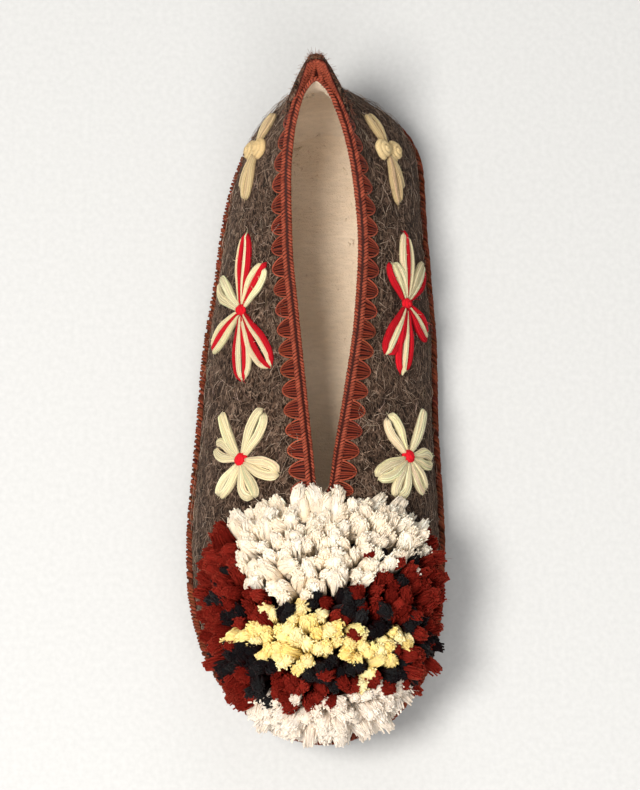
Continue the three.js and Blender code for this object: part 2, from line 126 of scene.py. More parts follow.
# Collar braid and the peak at the heel
SCALLOP_PITCH = 7.8
BRAID_END = 0.35
TAB = {"tip": 4.6, "length": 10.0, "lean": 22.0}
TONGUE = {"columns": 17, "levels": 12, "from": 0.02, "tip": 0.999, "swollen": 0.35}
PEAK = {"reach": 2.4, "drop": 0.09, "stand": 0.5, "thickness": 2.4}
PEAK_CORDS = {"places": (0.94, 0.7, 0.44, 0.16), "stand": 0.8, "short": 0.06, "steps": 45}
PEAK_GROUND = {"aside": 0.12, "stand": 0.2, "half_width": 1.3, "half_height": 0.5, "top": 0.98, "sides": 8}
FRAY = {"count": 520, "at_tip": 0.25, "sides": (0.75, 1.0), "tip": 0.9, "length": (0.6, 2.0), "loose": 0.6}
FRAY_HEIGHT = {"tip": 0.97, "middle": 0.25}  # of the tip's roots, and of the point they all lean away from
FRAY_RADII = np.array([[0.08, 0.07, 0.04]])

# Yarn flowers
FLOWER_COLUMNS = ("node", "side", "section", "rise", "kind")
FLOWER_ROWS = (
    ("flower_heel_lateral", -1, 3.05, 0.6, "sprig"),
    ("flower_heel_medial", 1, 3.05, 0.64, "sprig"),
    ("flower_side_lateral", -1, 5.75, 0.61, "star"),
    ("flower_side_medial", 1, 5.66, 0.615, "star"),
    ("flower_front_lateral", -1, 8.05, 0.63, "daisy"),
    ("flower_front_medial", 1, 7.94, 0.56, "daisy"),
)
# Petals as angle from the toe's direction up the wall, length, and the strands across in order:
# c for cream, t for tan and r for red
SPRIG = ((172, 17, "tt"), (-4, 17, "tt"), (-27, 14, "t"))
PETALS = {
    "flower_heel_lateral": SPRIG,
    "flower_heel_medial": SPRIG,
    "flower_side_lateral": (
        (1, 27, "rcrc"),
        (27, 27, "crcr"),
        (141, 20, "crc"),
        (178, 31, "rcrc"),
        (-130, 26, "cc"),
        (-60, 23, "crc"),
    ),
    "flower_side_medial": (
        (1, 27, "rcr"),
        (22, 23, "rcr"),
        (150, 16.5, "rcc"),
        (-177, 29, "crc"),
        (-139, 26, "ccr"),
        (-60, 19, "rcr"),
    ),
    "flower_front_lateral": (
        (15, 21, "cc"),
        (63, 17.5, "cc"),
        (147, 18.5, "cc"),
        (-143, 22, "c"),
        (-117, 17, "cc"),
        (-40, 17.5, "cc"),
    ),
    "flower_front_medial": (
        (14, 21, "cc"),
        (51, 18, "cc"),
        (139, 17, "cc"),
        (-144, 22, "c"),
        (-96, 18, "cc"),
        (-41, 16.5, "cc"),
    ),
}
SPRIG_KNOTS = ((95, 3.2), (-95, 4.6))  # angle and distance of the two tan knots
KNOT_RADIUS = {"sprig": 3.1, "star": 1.8, "daisy": 2.3}
KNOT_HEIGHT = {"sprig": 2.2, "star": 2.0, "daisy": 2.0}
KNOT = {"turns": 2.3, "drawn_in": 0.8, "stand": 0.4, "yarn": 0.42, "thinner": 0.15, "steps": 49}
KNOT_YARN = {"sides": 8, "plies": 2, "turns": 5, "relief": 0.1}
PETAL_WIDTH = {"sprig": 5.8, "star": 7.2, "daisy": 6.7}
PETAL_HEIGHT = {"sprig": 1.3, "star": 1.3, "daisy": 1.5}
LONE_STRAND = 0.62  # share of the width that a petal of one strand has
PETAL = {"from": 1.2, "waist": 0.34, "widest": 0.58, "blunt": 0.88, "ends": 0.06, "steps": 15}
PETAL_CURVE = {"rise": 1.3, "fall": 2.4}
SLIT = {"half_width": 0.6, "opens": (0.3, 0.6), "closes": (0.8, 1.0)}
# SATIN's shade is the share of the colour left on each strand under its filaments: painted shade between
# them
SATIN = {"ragged": 0.4, "wander": 0.12, "outer_short": 0.35, "overlap": 0.54, "shade": 0.7, "sides": 12}
SATIN_SEAT = {"stand": 0.45, "uneven": 0.1}
SATIN_WIDTHS = (0.95, 1.08)
FILAMENTS = 7  # threads across a satin strand
FILAMENT = {"reach": 0.92, "uneven": 0.05, "wander": 0.1, "round": 0.95, "sunk": 0.92, "sides": 4}
FILAMENT_WIDTHS = (0.85, 1.15)
FILAMENT_SHADES = 0.13
FUZZ = {"count": 16, "length": (0.5, 1.3), "root": 0.85, "out": 0.9, "ahead": 0.7, "loose": 0.5}
FUZZ_PALER = 1.05
FUZZ_RADII = np.array([[0.06, 0.06, 0.03]])

# Pompom
POMPOM_MIDDLE = np.array([0.0, -208.0, 44.0])
POMPOM_HALVES = np.array([46.0, 46.0, 33.0])
POMPOM_HEM = 17.0
CLEAR_OF_HEM = 1.5
CLEAR_OF_WALL = 1.3
THROAT_YARN = {"half_width": 9.0, "sunk": 7.0, "lift": 1.8}  # tufts lifted onto the collar's front end
HEIGHT_CELLS = {"columns": 130, "rows": 280, "left": 65, "back": 15}  # of a millimetre each
HEIGHT_SAMPLES = {"u": 1500, "v": 260}  # round the wall and up it
TUFTS = 1400  # over a whole egg
TUFT_STEPS = np.array([0.0, 0.55, 0.85, 1.0])  # along each tuft
TUFT_LENGTH = 17.0
TUFT_SIZES = (0.82, 1.2)
TUFT_SCATTER = 0.035  # of their directions
TUFT_UPRIGHT = 2.6  # how much steeper the tufts stand than rays from the middle
TUFT_RISE = 0.34  # and how far those on its rim still point up
TUFT_DROOP = 2.5  # of the tips on the rim
TUFT_REACH = {"all": 0.9, "heel": 0.1, "toe": 0.05, "heel_corners": 0.15, "lumps": 0.03, "spread": 0.026}
TUFT_SWAY = 2.35
TUFT_TRIM = 0.75  # share of the sway along a tuft that is cut away
CORE = {"radius": 2.05, "sides": 6, "short": 1.0, "shade": 0.94}
CORE_PROFILE = np.array([1.1, 1.25, 1.02, 0.5])
STRANDS = {"count": 25, "radius": 0.42, "spread": 2.1, "round": 0.5, "ragged": 0.3, "shades": 0.07}
STRAND_WIDTHS = (0.75, 1.25)
STRAND_PLACES = (0.2, 1)  # shares of the area across a tuft
STRAND_STEPS = np.array([0.5, 0.8, 1.0])
STRAND_OPENING = np.array([1.28, 1.16, 0.9])  # how far a strand stands out from its tuft's axis
STRAND_WANDER = np.array([0.1, 0.25, 0.4])
STRAND_PROFILE = np.array([0.8, 1.05, 0.85])
STRAYS = {"spread": 1.2, "reach": (0.8, 2.2), "aside": 0.8, "loose": 0.4}
STRAY_RADII = 0.07 * np.array([[1.0, 1.0, 0.5]])
TUFT_SHADES = {"seldom_pale": 1.5, "spread": 0.05}
COLOUR_EDGE = {"ragged": 1.5, "wave": 2.5}  # of the bundles, in degrees

# Colours
TINT_LIMITS = (0.004, 0.95)
# How much the yarns of one colour differ
SHADES = {"fleece": 0.07, "felt": 0.15, "stitch": 0.25, "braid": 0.14, "fray": 0.3, "satin": 0.05}
HUE_SHARE = 0.3  # of a difference in shade that is one in hue
FELT_DARK = (0.004, 0.0022, 0.0013)
FELT_MID = (0.023, 0.0128, 0.0084)
FELT_LIGHT = (0.14, 0.086, 0.06)
FIBRES = ((0.33, 0.228, 0.168), (0.16, 0.104, 0.076), (0.05, 0.030, 0.021), (0.57, 0.445, 0.355))
FIBRE_SHARES = (0.3, 0.35, 0.2, 0.15)
FLEECE = (0.75, 0.63, 0.50)
SUEDE = (0.13, 0.085, 0.06)
BRAID_RUST = (0.070, 0.009, 0.0045)
BRAID_THREAD = (0.165, 0.026, 0.012)
# Salmon colour of the braid's painted highlights, on the plies' crowns, at scattered glints and along the
# scallops' edge threads
BRAID_PAINTED_HIGHLIGHT = (0.32, 0.068, 0.036)
STITCH_RUST = (0.17, 0.040, 0.021)
FRAY_RUST = (0.19, 0.072, 0.042)
YARN = {
    "cream": (0.94, 0.79, 0.61),
    "white": (0.85, 0.73, 0.61),
    "yellow": (0.95, 0.70, 0.23),
    "rust": (0.095, 0.0065, 0.0043),
    "black": (0.005, 0.005, 0.006),
}
YARN_PALE = {
    "cream": (0.95, 0.87, 0.75),
    "white": (0.90, 0.81, 0.71),
    "yellow": (0.95, 0.83, 0.46),
    "rust": (0.18, 0.0145, 0.0095),
    "black": (0.012, 0.013, 0.014),
}
EMBROIDERY = {"c": (0.90, 0.77, 0.48), "t": (0.62, 0.46, 0.25), "r": (0.60, 0.012, 0.022)}


# The wall as a function of u round the slipper, v up the wall and a stand off it


def round_loop(lateral, medial):
    """One value for each section round the loop, lateral side first."""
    return np.concatenate([lateral, medial[TOE - 1 : 0 : -1]])


EVEN_COLUMNS = ("station", "top_station", "height", "slope")
WALL = {name: round_loop(SECTIONS[name], SECTIONS[name]) for name in EVEN_COLUMNS}
WALL["base_x"] = round_loop(-SECTIONS["lateral"], SECTIONS["medial"])
WALL["top_x"] = round_loop(SECTIONS["ridge"] - SECTIONS["gap"], SECTIONS["ridge"] + SECTIONS["gap"])


def along(name, u):
    """Smooth value between sections that never overshoots them."""
    values = WALL[name]
    k = np.floor(u).astype(int)
    f = u - k
    g = 1 - f

    def at(i):
        return values[i % LOOP]

    def tangent(i):
        before = at(i) - at(i - 1)
        after = at(i + 1) - at(i)
        rising = before * after > 0
        return np.where(rising, 2 * before * after / np.where(rising, before + after, 1), 0)

    ends = at(k) * (1 + 2 * f) * g * g + at(k + 1) * (1 + 2 * g) * f * f
    return ends + tangent(k) * f * g * g - tangent(k + 1) * f * f * g


def sole_bottom(station):
    turn = np.clip((station - ARCH["from"]) / (ARCH["to"] - ARCH["from"]), 0, 1)
    arch = ARCH["rise"] * 0.5 * (1 - np.cos(2 * np.pi * turn))
    spring = np.maximum(0, (station - TOE_SPRING["from"]) / (SOLE_LENGTH - TOE_SPRING["from"]))
    return arch + TOE_SPRING["rise"] * spring**2


def sole_top(station):
    return sole_bottom(station) + SOLE_THICKNESS


def is_vamp(u):
    """Whether u lies in front of the opening, where the wall is closed over the toes."""
    k = np.mod(u, LOOP)
    return (k >= THROAT) & (k <= LOOP - THROAT)


def unit(vectors):
    return vectors / np.maximum(np.linalg.norm(vectors, axis=-1, keepdims=True), 1e-9)


def path_lengths(points):
    """Length along a path at each of its points."""
    return np.concatenate([[0], np.cumsum(np.linalg.norm(np.diff(points, axis=0), axis=1))])


def wall_handles(u, offset):
    """The four handles of the wall's section at u, stood off outward by offset."""
    u, offset = np.broadcast_arrays(np.asarray(u, float), np.asarray(offset, float))
    flat = np.zeros_like(u)
    foot = np.stack([along("base_x", u), -along("station", u), flat], -1)
    top = np.stack([along("top_x", u), -along("top_station", u), flat], -1)
    inward = unit(top - foot)
    up = np.array([0.0, 0.0, 1.0])
    slope = np.radians(along("slope", u))
    tilt = np.where(is_vamp(u), 0, slope)
    foot = foot - inward * offset[..., None]
    foot[..., 2] = sole_top(-foot[..., 1]) + SEAT
    top[..., 2] = along("height", u)
    top = top - inward * (offset * np.sin(tilt))[..., None] + up * (offset * np.cos(tilt))[..., None]
    lower = foot + up * (UPRIGHT * (top - foot)[..., 2:])
    pull = REACH * np.linalg.norm(top - foot, axis=-1)
    upper = top - inward * (pull * np.cos(slope))[..., None] - up * (pull * np.sin(slope))[..., None]
    return foot, lower, upper, top


def wall(u, v, offset=0.0):
    """Points of the wall, with v from 0 at its foot to 1 at its top."""
    u, v, offset = (np.asarray(a, float) for a in np.broadcast_arrays(u, v, offset))
    foot, lower, upper, top = wall_handles(u, offset)
    f = v[..., None]
    g = 1 - f
    return foot * g**3 + 3 * lower * f * g * g + 3 * upper * f * f * g + top * f**3


WallFrame = namedtuple("WallFrame", "point up normal per_u per_v")


def wall_frame(u, v, offset=0.0):
    """Point, unit direction up the wall, outward normal, and mm per u and v."""
    nudge = 0.004
    du = (wall(u + nudge, v, offset) - wall(u - nudge, v, offset)) / (2 * nudge)
    dv = (wall(u, v + nudge, offset) - wall(u, v - nudge, offset)) / (2 * nudge)
    per_u, per_v = (np.linalg.norm(step, axis=-1) for step in (du, dv))
    return WallFrame(wall(u, v, offset), unit(dv), unit(np.cross(du, dv)), per_u, per_v)


def frame_shift():
    """Where the slipper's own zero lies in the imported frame, from the outsole's box."""
    low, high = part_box("outsole")
    ring = wall(np.arange(0, LOOP, 1 / STEPS_PER_SECTION), 0.0, SOLE_LEDGE)
    return np.array([low.x / MM - ring[:, 0].min(), high.y / MM - ring[:, 1].max(), 0.0])


SHIFT = frame_shift()


# Meshes from arrays


class Shapes:
    """The points, faces and tints of one piece."""

    def __init__(self):
        self.points = []
        self.tints = []
        self.faces = []
        self.count = 0

    def add(self, points, faces, tint=(1.0, 1.0, 1.0)):
        points = np.asarray(points, float).reshape(-1, 3)
        self.points.append(points)
        self.tints.append(np.broadcast_to(np.asarray(tint, float), points.shape))
        self.faces += [face + self.count for face in faces]
        self.count += len(points)

    def yarns(self, paths, normals, half_width, tints, half_height=None, sides=3, **plied):
        """Closed yarns along paths, with one colour for each."""
        points, faces = tubes(paths, normals, half_width, half_height, sides, **plied)
        self.add(points, faces, np.repeat(np.asarray(tints, float), paths.shape[1] * sides, axis=0))


def grid(columns, rows, loop=False, row_loop=False):
    """Quads over a grid of points whose index is column * rows + row."""
    i = np.arange(columns if loop else columns - 1)
    j = np.arange(rows if row_loop else rows - 1)
    i, j = (a.ravel() for a in np.meshgrid(i, j, indexing="ij"))
    far = (i + 1) % columns
    above = (j + 1) % rows
    return np.stack([i * rows + j, far * rows + j, far * rows + above, i * rows + above], -1)


def tubes(paths, normals, half_width, half_height, sides, plies=0, turns=0, relief=0.0):
    """Closed yarns along paths (count, steps, 3), as points and faces.

    half_width lies across the normal, and half_height along it if it isn't the same. plies gives
    the yarn that many strands, which wind round it by turns over its length and stand out by relief.
    """
    count, steps, _ = paths.shape
    half_height = half_width if half_height is None else half_height
    tangents = unit(np.gradient(paths, axis=1))
    side = unit(np.cross(tangents, np.broadcast_to(normals, paths.shape)))
    lift = np.cross(side, tangents)
    angle = np.linspace(0, 2 * np.pi, sides, endpoint=False)
    wind = turns * np.linspace(0, 2 * np.pi, steps)[None, :, None]
    lobes = 1 + relief * np.cos(plies * (angle - wind))
    wide = np.broadcast_to(half_width, (count, steps))[..., None] * lobes * np.cos(angle)
    high = np.broadcast_to(half_height, (count, steps))[..., None] * lobes * np.sin(angle)
    points = paths[:, :, None] + side[:, :, None] * wide[..., None] + lift[:, :, None] * high[..., None]
    first = np.arange(count)[:, None, None] * steps * sides
    ring = first + (np.arange(steps - 1)[:, None] * sides)[None]
    a = np.arange(sides)[None, None]
    b = (a + 1) % sides
    quads = np.stack([ring + b, ring + a, ring + sides + a, ring + sides + b], -1)
    start = first[:, 0] + np.arange(sides)
    end = first[:, 0] + (steps - 1) * sides + np.arange(sides)[::-1]
    return points.reshape(-1, 3), [quads.reshape(-1, 4), start, end]


def vary(colour, count, amount):
    """Slightly different shades of a colour."""
    shade = 1 + amount * rng.standard_normal((count, 1))
    shade = shade + HUE_SHARE * amount * rng.standard_normal((count, 3))
    return np.clip(np.asarray(colour) * shade, *TINT_LIMITS)


def fuzz(shapes, path, thick, tint):
    """Loose fibres that stand off a yarn, after its first step."""
    count = FUZZ["count"]
    step = rng.integers(1, len(path), count)
    tangents = unit(np.gradient(path, axis=0))[step]
    out = unit(np.cross(tangents, rng.standard_normal((count, 3))))
    start = path[step] + out * (FUZZ["root"] * thick[step])[:, None]
    loose = FUZZ["loose"] * rng.standard_normal((count, 3))
    heading = unit(FUZZ["out"] * out + FUZZ["ahead"] * tangents + loose)
    bend = FUZZ["loose"] * rng.standard_normal((count, 3))
    t = np.linspace(0, 1, 3)[None, :, None]
    reach = rng.uniform(*FUZZ["length"], (count, 1, 1))
    hairs = start[:, None] + reach * (heading[:, None] * t + bend[:, None] * t**2)
    tints = np.repeat(np.clip(FUZZ_PALER * tint, *TINT_LIMITS), count, 0)
    shapes.yarns(hairs, out[:, None], FUZZ_RADII, tints)


def piece(name, shapes, material, nodes=(), weld=False):
    """A mesh object on the slipper's one body, which stands for the named solids."""
    points = np.concatenate(shapes.points)
    corners = np.concatenate([face.ravel() for face in shapes.faces])
    sizes = np.concatenate([np.full(len(face), face.shape[1]) for face in shapes.faces])
    mesh = bpy.data.meshes.new(name)
    mesh.vertices.add(len(points))
    mesh.vertices.foreach_set("co", ((points + SHIFT) * MM).astype(np.float32).ravel())
    mesh.loops.add(len(corners))
    mesh.loops.foreach_set("vertex_index", corners.astype(np.int32))
    mesh.polygons.add(len(sizes))
    mesh.polygons.foreach_set("loop_start", (np.cumsum(sizes) - sizes).astype(np.int32))
    mesh.polygons.foreach_set("use_smooth", np.full(len(sizes), True))
    tint = mesh.color_attributes.new("tint", "FLOAT_COLOR", "POINT")
    tints = np.concatenate(shapes.tints)
    tint.data.foreach_set("color", np.c_[tints, np.ones(len(tints))].astype(np.float32).ravel())
    mesh.update(calc_edges=True)
    if weld:
        welded = bmesh.new()
        welded.from_mesh(mesh)
        bmesh.ops.remove_doubles(welded, verts=welded.verts, dist=0.01 * MM)
        welded.to_mesh(mesh)
        welded.free()
    mesh.materials.append(material)
    made = bpy.data.objects.new(name, mesh)
    bpy.context.scene.collection.objects.link(made)
    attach(made, "root")
    if nodes:
        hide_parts(*nodes)


# Materials


class Finish:
    """A node material: helpers add textures in millimetres and mix them into one shader."""

    def __init__(self, name, roughness, sheen, specular):
        self.material = bpy.data.materials.new(name)
        self.material.use_nodes = True
        self.tree = self.material.node_tree
        self.shader = self.tree.nodes["Principled BSDF"]
        self.fill(self.shader, Roughness=roughness, Specular_IOR_Level=specular)
        self.fill(self.shader, Sheen_Weight=sheen, Sheen_Roughness=0.5)
        self.place = self.node("ShaderNodeTexCoord").outputs["Object"]

    def node(self, kind, **inputs):
        return self.fill(self.tree.nodes.new(kind), **inputs)

    def fill(self, node, **inputs):
        """Feed a node's inputs, with _ for each space in their names."""
        for name, value in inputs.items():
            self.feed(node.inputs[name.replace("_", " ")], value)
        return node

    def feed(self, socket, value):
        if isinstance(value, bpy.types.NodeSocket):
            self.tree.links.new(value, socket)
        else:
            socket.default_value = value

    def noise(self, size, detail=2.0, stretch=(1, 1, 1), turn=(0, 0, 0), distortion=0.0):
        """Noise whose grain is about size millimetres, drawn out along the axes of stretch."""
        mapping = self.node("ShaderNodeMapping", Vector=self.place)
        self.fill(mapping, Rotation=[math.radians(a) for a in turn], Scale=[1 / s for s in stretch])
        texture = self.node("ShaderNodeTexNoise", Vector=mapping.outputs["Vector"])
        self.fill(texture, Scale=1 / (size * MM), Detail=detail, Distortion=distortion)
        return texture.outputs["Fac"]

    def ramp(self, value, *stops):
        """Colour or grey over value, from (position, colour) stops."""
        made = self.node("ShaderNodeValToRGB", Fac=value)
        elements = made.color_ramp.elements
        while len(elements) < len(stops):
            elements.new(0.5)
        for element, (position, colour) in zip(elements, stops):
            element.position = position
            element.color = (*colour, 1) if isinstance(colour, tuple) else (colour, colour, colour, 1)
        return made.outputs["Color"]

    def mix(self, share, a, b, blend="MIX"):
        made = self.node("ShaderNodeMix")
        made.data_type = "RGBA"
        made.blend_type = blend
        for socket, value in zip((made.inputs[0], made.inputs[6], made.inputs[7]), (share, a, b)):
            self.feed(socket, (*value, 1) if isinstance(value, tuple) else value)
        return made.outputs[2]

    def times(self, a, b):
        return self.mix(1.0, a, b, "MULTIPLY")

    def tint(self):
        made = self.node("ShaderNodeVertexColor")
        made.layer_name = "tint"
        return made.outputs["Color"]

    def colour(self, value):
        self.fill(self.shader, Base_Color=value)

    def roughness(self, value, low, high):
        made = self.node("ShaderNodeMapRange", Value=value, To_Min=low, To_Max=high)
        self.fill(self.shader, Roughness=made.outputs["Result"])

    def bump(self, *heights):
        """Bumps as (height, depth in millimetres), laid over each other."""
        normal = None
        for height, depth in heights:
            made = self.node("ShaderNodeBump", Height=height, Strength=1.0, Distance=depth * MM)
            if normal:
                self.fill(made, Normal=normal)
            normal = made.outputs["Normal"]
        self.fill(self.shader, Normal=normal)


def felt_finish():
    """Marled, hairy fulled wool: a dark ground under squiggles of paler fibre."""
    felt = Finish("hairy_felt", roughness=0.95, sheen=0.08, specular=0.05)
    felt.fill(felt.shader, Sheen_Tint=(0.6, 0.5, 0.45, 1))
    clumps = felt.noise(1.7, 5, distortion=0.8)
    ground = felt.ramp(clumps, (0.34, FELT_DARK), (0.52, FELT_MID), (0.7, FELT_LIGHT))
    patches = felt.ramp(felt.noise(9, 2), (0.35, 0.65), (0.65, 1.25))
    colour = felt.times(ground, patches)
    fibres = []
    for turn, pale in (((20, 40, 0), 0.8), ((70, 10, 50), 0.65), ((0, 65, 110), 0.7)):
        lines = felt.noise(3.2, 2, stretch=(1, 2.2, 1), turn=turn, distortion=1.2)
        line = felt.ramp(lines, (0.47, 0.0), (0.5, pale), (0.53, 0.0))
        fibres.append(line)
        colour = felt.mix(line, colour, FIBRES[len(fibres) - 1])
    felt.colour(colour)
    fluff = felt.noise(0.45, 4)
    felt.roughness(fluff, 0.85, 1.0)
    felt.bump((felt.noise(2.5, 3), 0.5), (fluff, 0.35), (fibres[0], 0.2), (fibres[1], 0.2))
    return felt.material


def fleece_finish():
    """Short cream pile in faint rows across the wall."""
    fleece = Finish("fleece_pile", roughness=0.98, sheen=0.1, specular=0.03)
    rows = fleece.noise(1.4, 3, stretch=(3, 1, 1))
    curls = fleece.noise(0.7, 4, distortion=0.8)
    shade = fleece.ramp(rows, (0.3, 0.93), (0.7, 1.05))
    dust = fleece.ramp(fleece.noise(14, 3), (0.3, (0.93, 0.90, 0.86)), (0.7, (1.0, 1.0, 1.0)))
    fleece.colour(fleece.times(fleece.times(fleece.tint(), shade), dust))
    fleece.roughness(curls, 0.9, 1.0)
    fleece.bump((rows, 0.3), (curls, 0.5))
    return fleece.material


def suede_finish():
    """Brown suede with fine grain and darker, worn patches."""
    suede = Finish("sole_suede", roughness=0.9, sheen=0.3, specular=0.2)
    grain = suede.noise(0.5, 5)
    wear = suede.noise(22, 4)
    ground = suede.ramp(wear, (0.3, tuple(0.6 * c for c in SUEDE)), (0.7, tuple(1.25 * c for c in SUEDE)))
    suede.colour(suede.times(ground, suede.ramp(grain, (0.3, 0.75), (0.7, 1.2))))
    suede.roughness(wear, 0.75, 1.0)
    suede.bump((grain, 0.25), (suede.noise(3, 3), 0.3))
    return suede.material


def yarn_finish(name, roughness, specular, fibre, depth, soft=0.0, sheen=0.0, sheen_tint=(1.0, 1.0, 1.0)):
    """Yarn that takes its colour from each strand's tint, with fine fibre along it."""
    yarn = Finish(name, roughness, sheen, specular)
    yarn.fill(yarn.shader, Sheen_Tint=(*sheen_tint, 1), Subsurface_Weight=soft)
    yarn.fill(yarn.shader, Subsurface_Radius=(1.0, 0.85, 0.7), Subsurface_Scale=2.5 * MM)
    fluff = yarn.noise(fibre, 4, distortion=0.5)
    clumps = yarn.noise(3 * fibre, 3, distortion=0.8)
    yarn.colour(yarn.times(yarn.tint(), yarn.ramp(fluff, (0.25, 0.78), (0.75, 1.12))))
    yarn.roughness(fluff, max(0.0, roughness - 0.1), min(1.0, roughness + 0.08))
    yarn.bump((clumps, 1.6 * depth), (fluff, depth))
    return yarn.material


FELT = felt_finish()
FLEECE_PILE = fleece_finish()
SOLE_SUEDE = suede_finish()
GIMP_THREAD = yarn_finish("gimp_thread", roughness=0.6, specular=0.15, fibre=0.4, depth=0.12)
EMBROIDERY_YARN = yarn_finish(
    "embroidery_yarn", roughness=0.95, specular=0.04, fibre=0.3, depth=0.2, soft=0.25
)
FELT_FIBRE = yarn_finish("felt_fibre", roughness=0.85, specular=0.1, fibre=0.8, depth=0.02)

# Felt upper and fleece lining

# Creases as u and v of both ends, half width and depth in millimetres. A minus depth is a ridge.
CREASE_COLUMNS = ("from_u", "from_v", "to_u", "to_v", "width", "depth")
CREASE = {"steps": 24, "fade": 0.6, "shoulder": 0.35, "shoulder_at": 2.0}
UPPER_CREASES = (
    (0.0, 0.08, 0.0, 0.95, 2.6, -0.7),
    (1.3, 0.25, 2.2, 0.86, 5.0, 1.0),
    (28.7, 0.25, 27.8, 0.86, 5.0, 1.0),
    (3.9, 0.12, 5.6, 0.3, 6.0, 0.9),
    (26.0, 0.12, 24.3, 0.3, 6.0, 0.9),
    (6.6, 0.22, 7.4, 0.78, 4.5, 0.7),
    (23.4, 0.2, 22.7, 0.76, 4.5, 0.7),
    (9.2, 0.12, 10.6, 0.34, 4.0, 0.8),
    (20.8, 0.12, 19.4, 0.34, 4.0, 0.8),
)
TOE_GATHERS = {"from_u": 11.6, "to_u": 18.4, "count": 17, "width": 1.9, "depth": 0.8, "rise": 0.42}
LINING_CREASES = (
    (0.0, 0.15, 0.0, 0.97, 2.2, 0.9),
    (0.3, 0.74, 2.6, 0.36, 4.6, 1.0),
    (29.5, 0.6, 27.6, 0.3, 4.0, 0.9),
    (4.2, 0.5, 6.0, 0.35, 4.0, 0.7),
    (25.9, 0.55, 24.2, 0.4, 4.0, 0.7),
)


def crease_depths(points, creases, offset):
    """How far soft troughs and ridges move each point, along the wall's normal."""
    moved = np.zeros(points.shape[:-1])
    t = np.linspace(0, 1, CREASE["steps"])
    for row in creases:
        crease = dict(zip(CREASE_COLUMNS, row))
        u = crease["from_u"] + (crease["to_u"] - crease["from_u"]) * t
        v = crease["from_v"] + (crease["to_v"] - crease["from_v"]) * t
        line = wall(u, v, offset)
        away = np.linalg.norm(points[..., None, :] - line, axis=-1)
        near = away.argmin(-1)
        reach = np.take_along_axis(away, near[..., None], -1)[..., 0] / crease["width"]
        fade = np.sin(np.pi * np.clip(t[near], 0.02, 0.98)) ** CREASE["fade"]
        shoulder = CREASE["shoulder"] * np.exp(-((reach - CREASE["shoulder_at"]) ** 2))
        moved -= crease["depth"] * fade * (np.exp(-(reach**2)) - shoulder)
    return moved


def toe_gathers():
    gathers = TOE_GATHERS
    return tuple(
        (u, 0.02, u, gathers["rise"], gathers["width"], gathers["depth"])
        for u in np.linspace(gathers["from_u"], gathers["to_u"], gathers["count"])
    )


def ease(value, low, high):
    """0 below low, 1 above high and smooth between."""
    t = np.clip((value - low) / (high - low), 0, 1)
    return t * t * (3 - 2 * t)


def thinned(u, v):
    """Share of the wall's thickness that is left where the braid pinches the collar's edge."""
    from_heel = np.minimum(np.mod(u, LOOP), LOOP - np.mod(u, LOOP))
    before_throat = 1 - ease(from_heel, THROAT - COLLAR_PINCH["whole"], THROAT - COLLAR_PINCH["none"])
    return 1 - COLLAR_PINCH["share"] * ease(v, COLLAR_PINCH["from"], 1.0) * before_throat


def wall_layer(outer, inner, creases_out, creases_in, rows):
    """Closed shell between two stands of the wall, with rows up each side, as points and faces."""
    u = COLUMN_U[:, None]
    sides = []
    for offset, creases, count in ((outer, creases_out, rows[0]), (inner, creases_in, rows[1])):
        v = np.linspace(0, 1, count)[None]
        here = wall_frame(u, v, offset * thinned(u, v))
        sides.append(here.point + here.normal * crease_depths(here.point, creases, offset)[..., None])
    points = np.concatenate([sides[0], sides[1][:, ::-1]], axis=1)
    faces = grid(COLUMNS, sum(rows), loop=True, row_loop=True)
    column, row = np.divmod(faces[:, 0], sum(rows))
    seamed = is_vamp(column / COLUMNS_PER_SECTION) & is_vamp((column + 1) / COLUMNS_PER_SECTION)
    return points, [faces[~((row == rows[0] - 1) & seamed)]]


def felt_upper():
    shapes = Shapes()
    shapes.add(*wall_layer(0.0, -FELT_LAYER, UPPER_CREASES + toe_gathers(), (), (WALL_ROWS, HIDDEN_ROWS)))
    piece("felt_upper", shapes, FELT, ["upper"], weld=True)


def lining_flare(points):
    """How far the lining curves in over the insole, from each point's height above it."""
    low = np.clip(1 - (points[..., 2] - insole_top(points)) / LINING_FLARE, 0, 1)
    return LINING_FLARE * (1 - np.sqrt(1 - low**2))


def fleece_lining():
    shapes = Shapes()
    points, faces = wall_layer(-FELT_LAYER, -WALL_THICKNESS, (), LINING_CREASES, (HIDDEN_ROWS, WALL_ROWS))
    u = COLUMN_U[:, None]
    v = np.linspace(1, 0, WALL_ROWS)[None]
    inside = points[:, HIDDEN_ROWS:]
    inside -= wall_frame(u, v, -WALL_THICKNESS).normal * lining_flare(inside)[..., None]
    shapes.add(points, faces, FLEECE)
    piece("fleece_lining", shapes, FLEECE_PILE, weld=True)


def scatter(count, low, high, keep):
    """Places (u, v) spread evenly over the wall's area, where keep(u, v) holds."""
    tries = HAIR["tries"] * count
    u = rng.uniform(0, LOOP, tries)
    v = rng.uniform(low, high, tries)
    here = wall_frame(u, v)
    area = here.per_u * here.per_v
    chosen = (rng.uniform(0, 1, tries) < area / np.percentile(area, 98)) & keep(u, v)
    return u[chosen][:count], v[chosen][:count]


def wall_hairs(u, v, offset, out, length, radius, lift, flow, spread, steps):
    """Fine hairs that start on the wall and curl over it, as paths, normals and half widths."""
    here = wall_frame(u, v, offset)
    heading = flow + spread * rng.standard_normal(len(u))
    curl = rng.normal(0, HAIR["curl"], len(u))
    t = np.linspace(0, 1, steps)
    turn = heading[:, None] + curl[:, None] * t
    step = (length / (steps - 1))[:, None]
    ahead = np.cumsum(np.cos(turn) * step, 1) - np.cos(turn[:, :1]) * step
    rise = np.cumsum(np.sin(turn) * step, 1) - np.sin(turn[:, :1]) * step
    at_u = u[:, None] + ahead / here.per_u[:, None]
    at_v = np.clip(v[:, None] + rise / here.per_v[:, None], 0.01, 1.0)
    height = lift[:, None] * np.sin(np.pi * np.clip(0.12 + 0.8 * t, 0, 1))
    normals = out * here.normal[:, None]
    paths = wall(at_u, at_v, offset[:, None]) + normals * height[..., None]
    return paths, normals, radius[:, None] * (1 - HAIR["thinner"] * t**2)


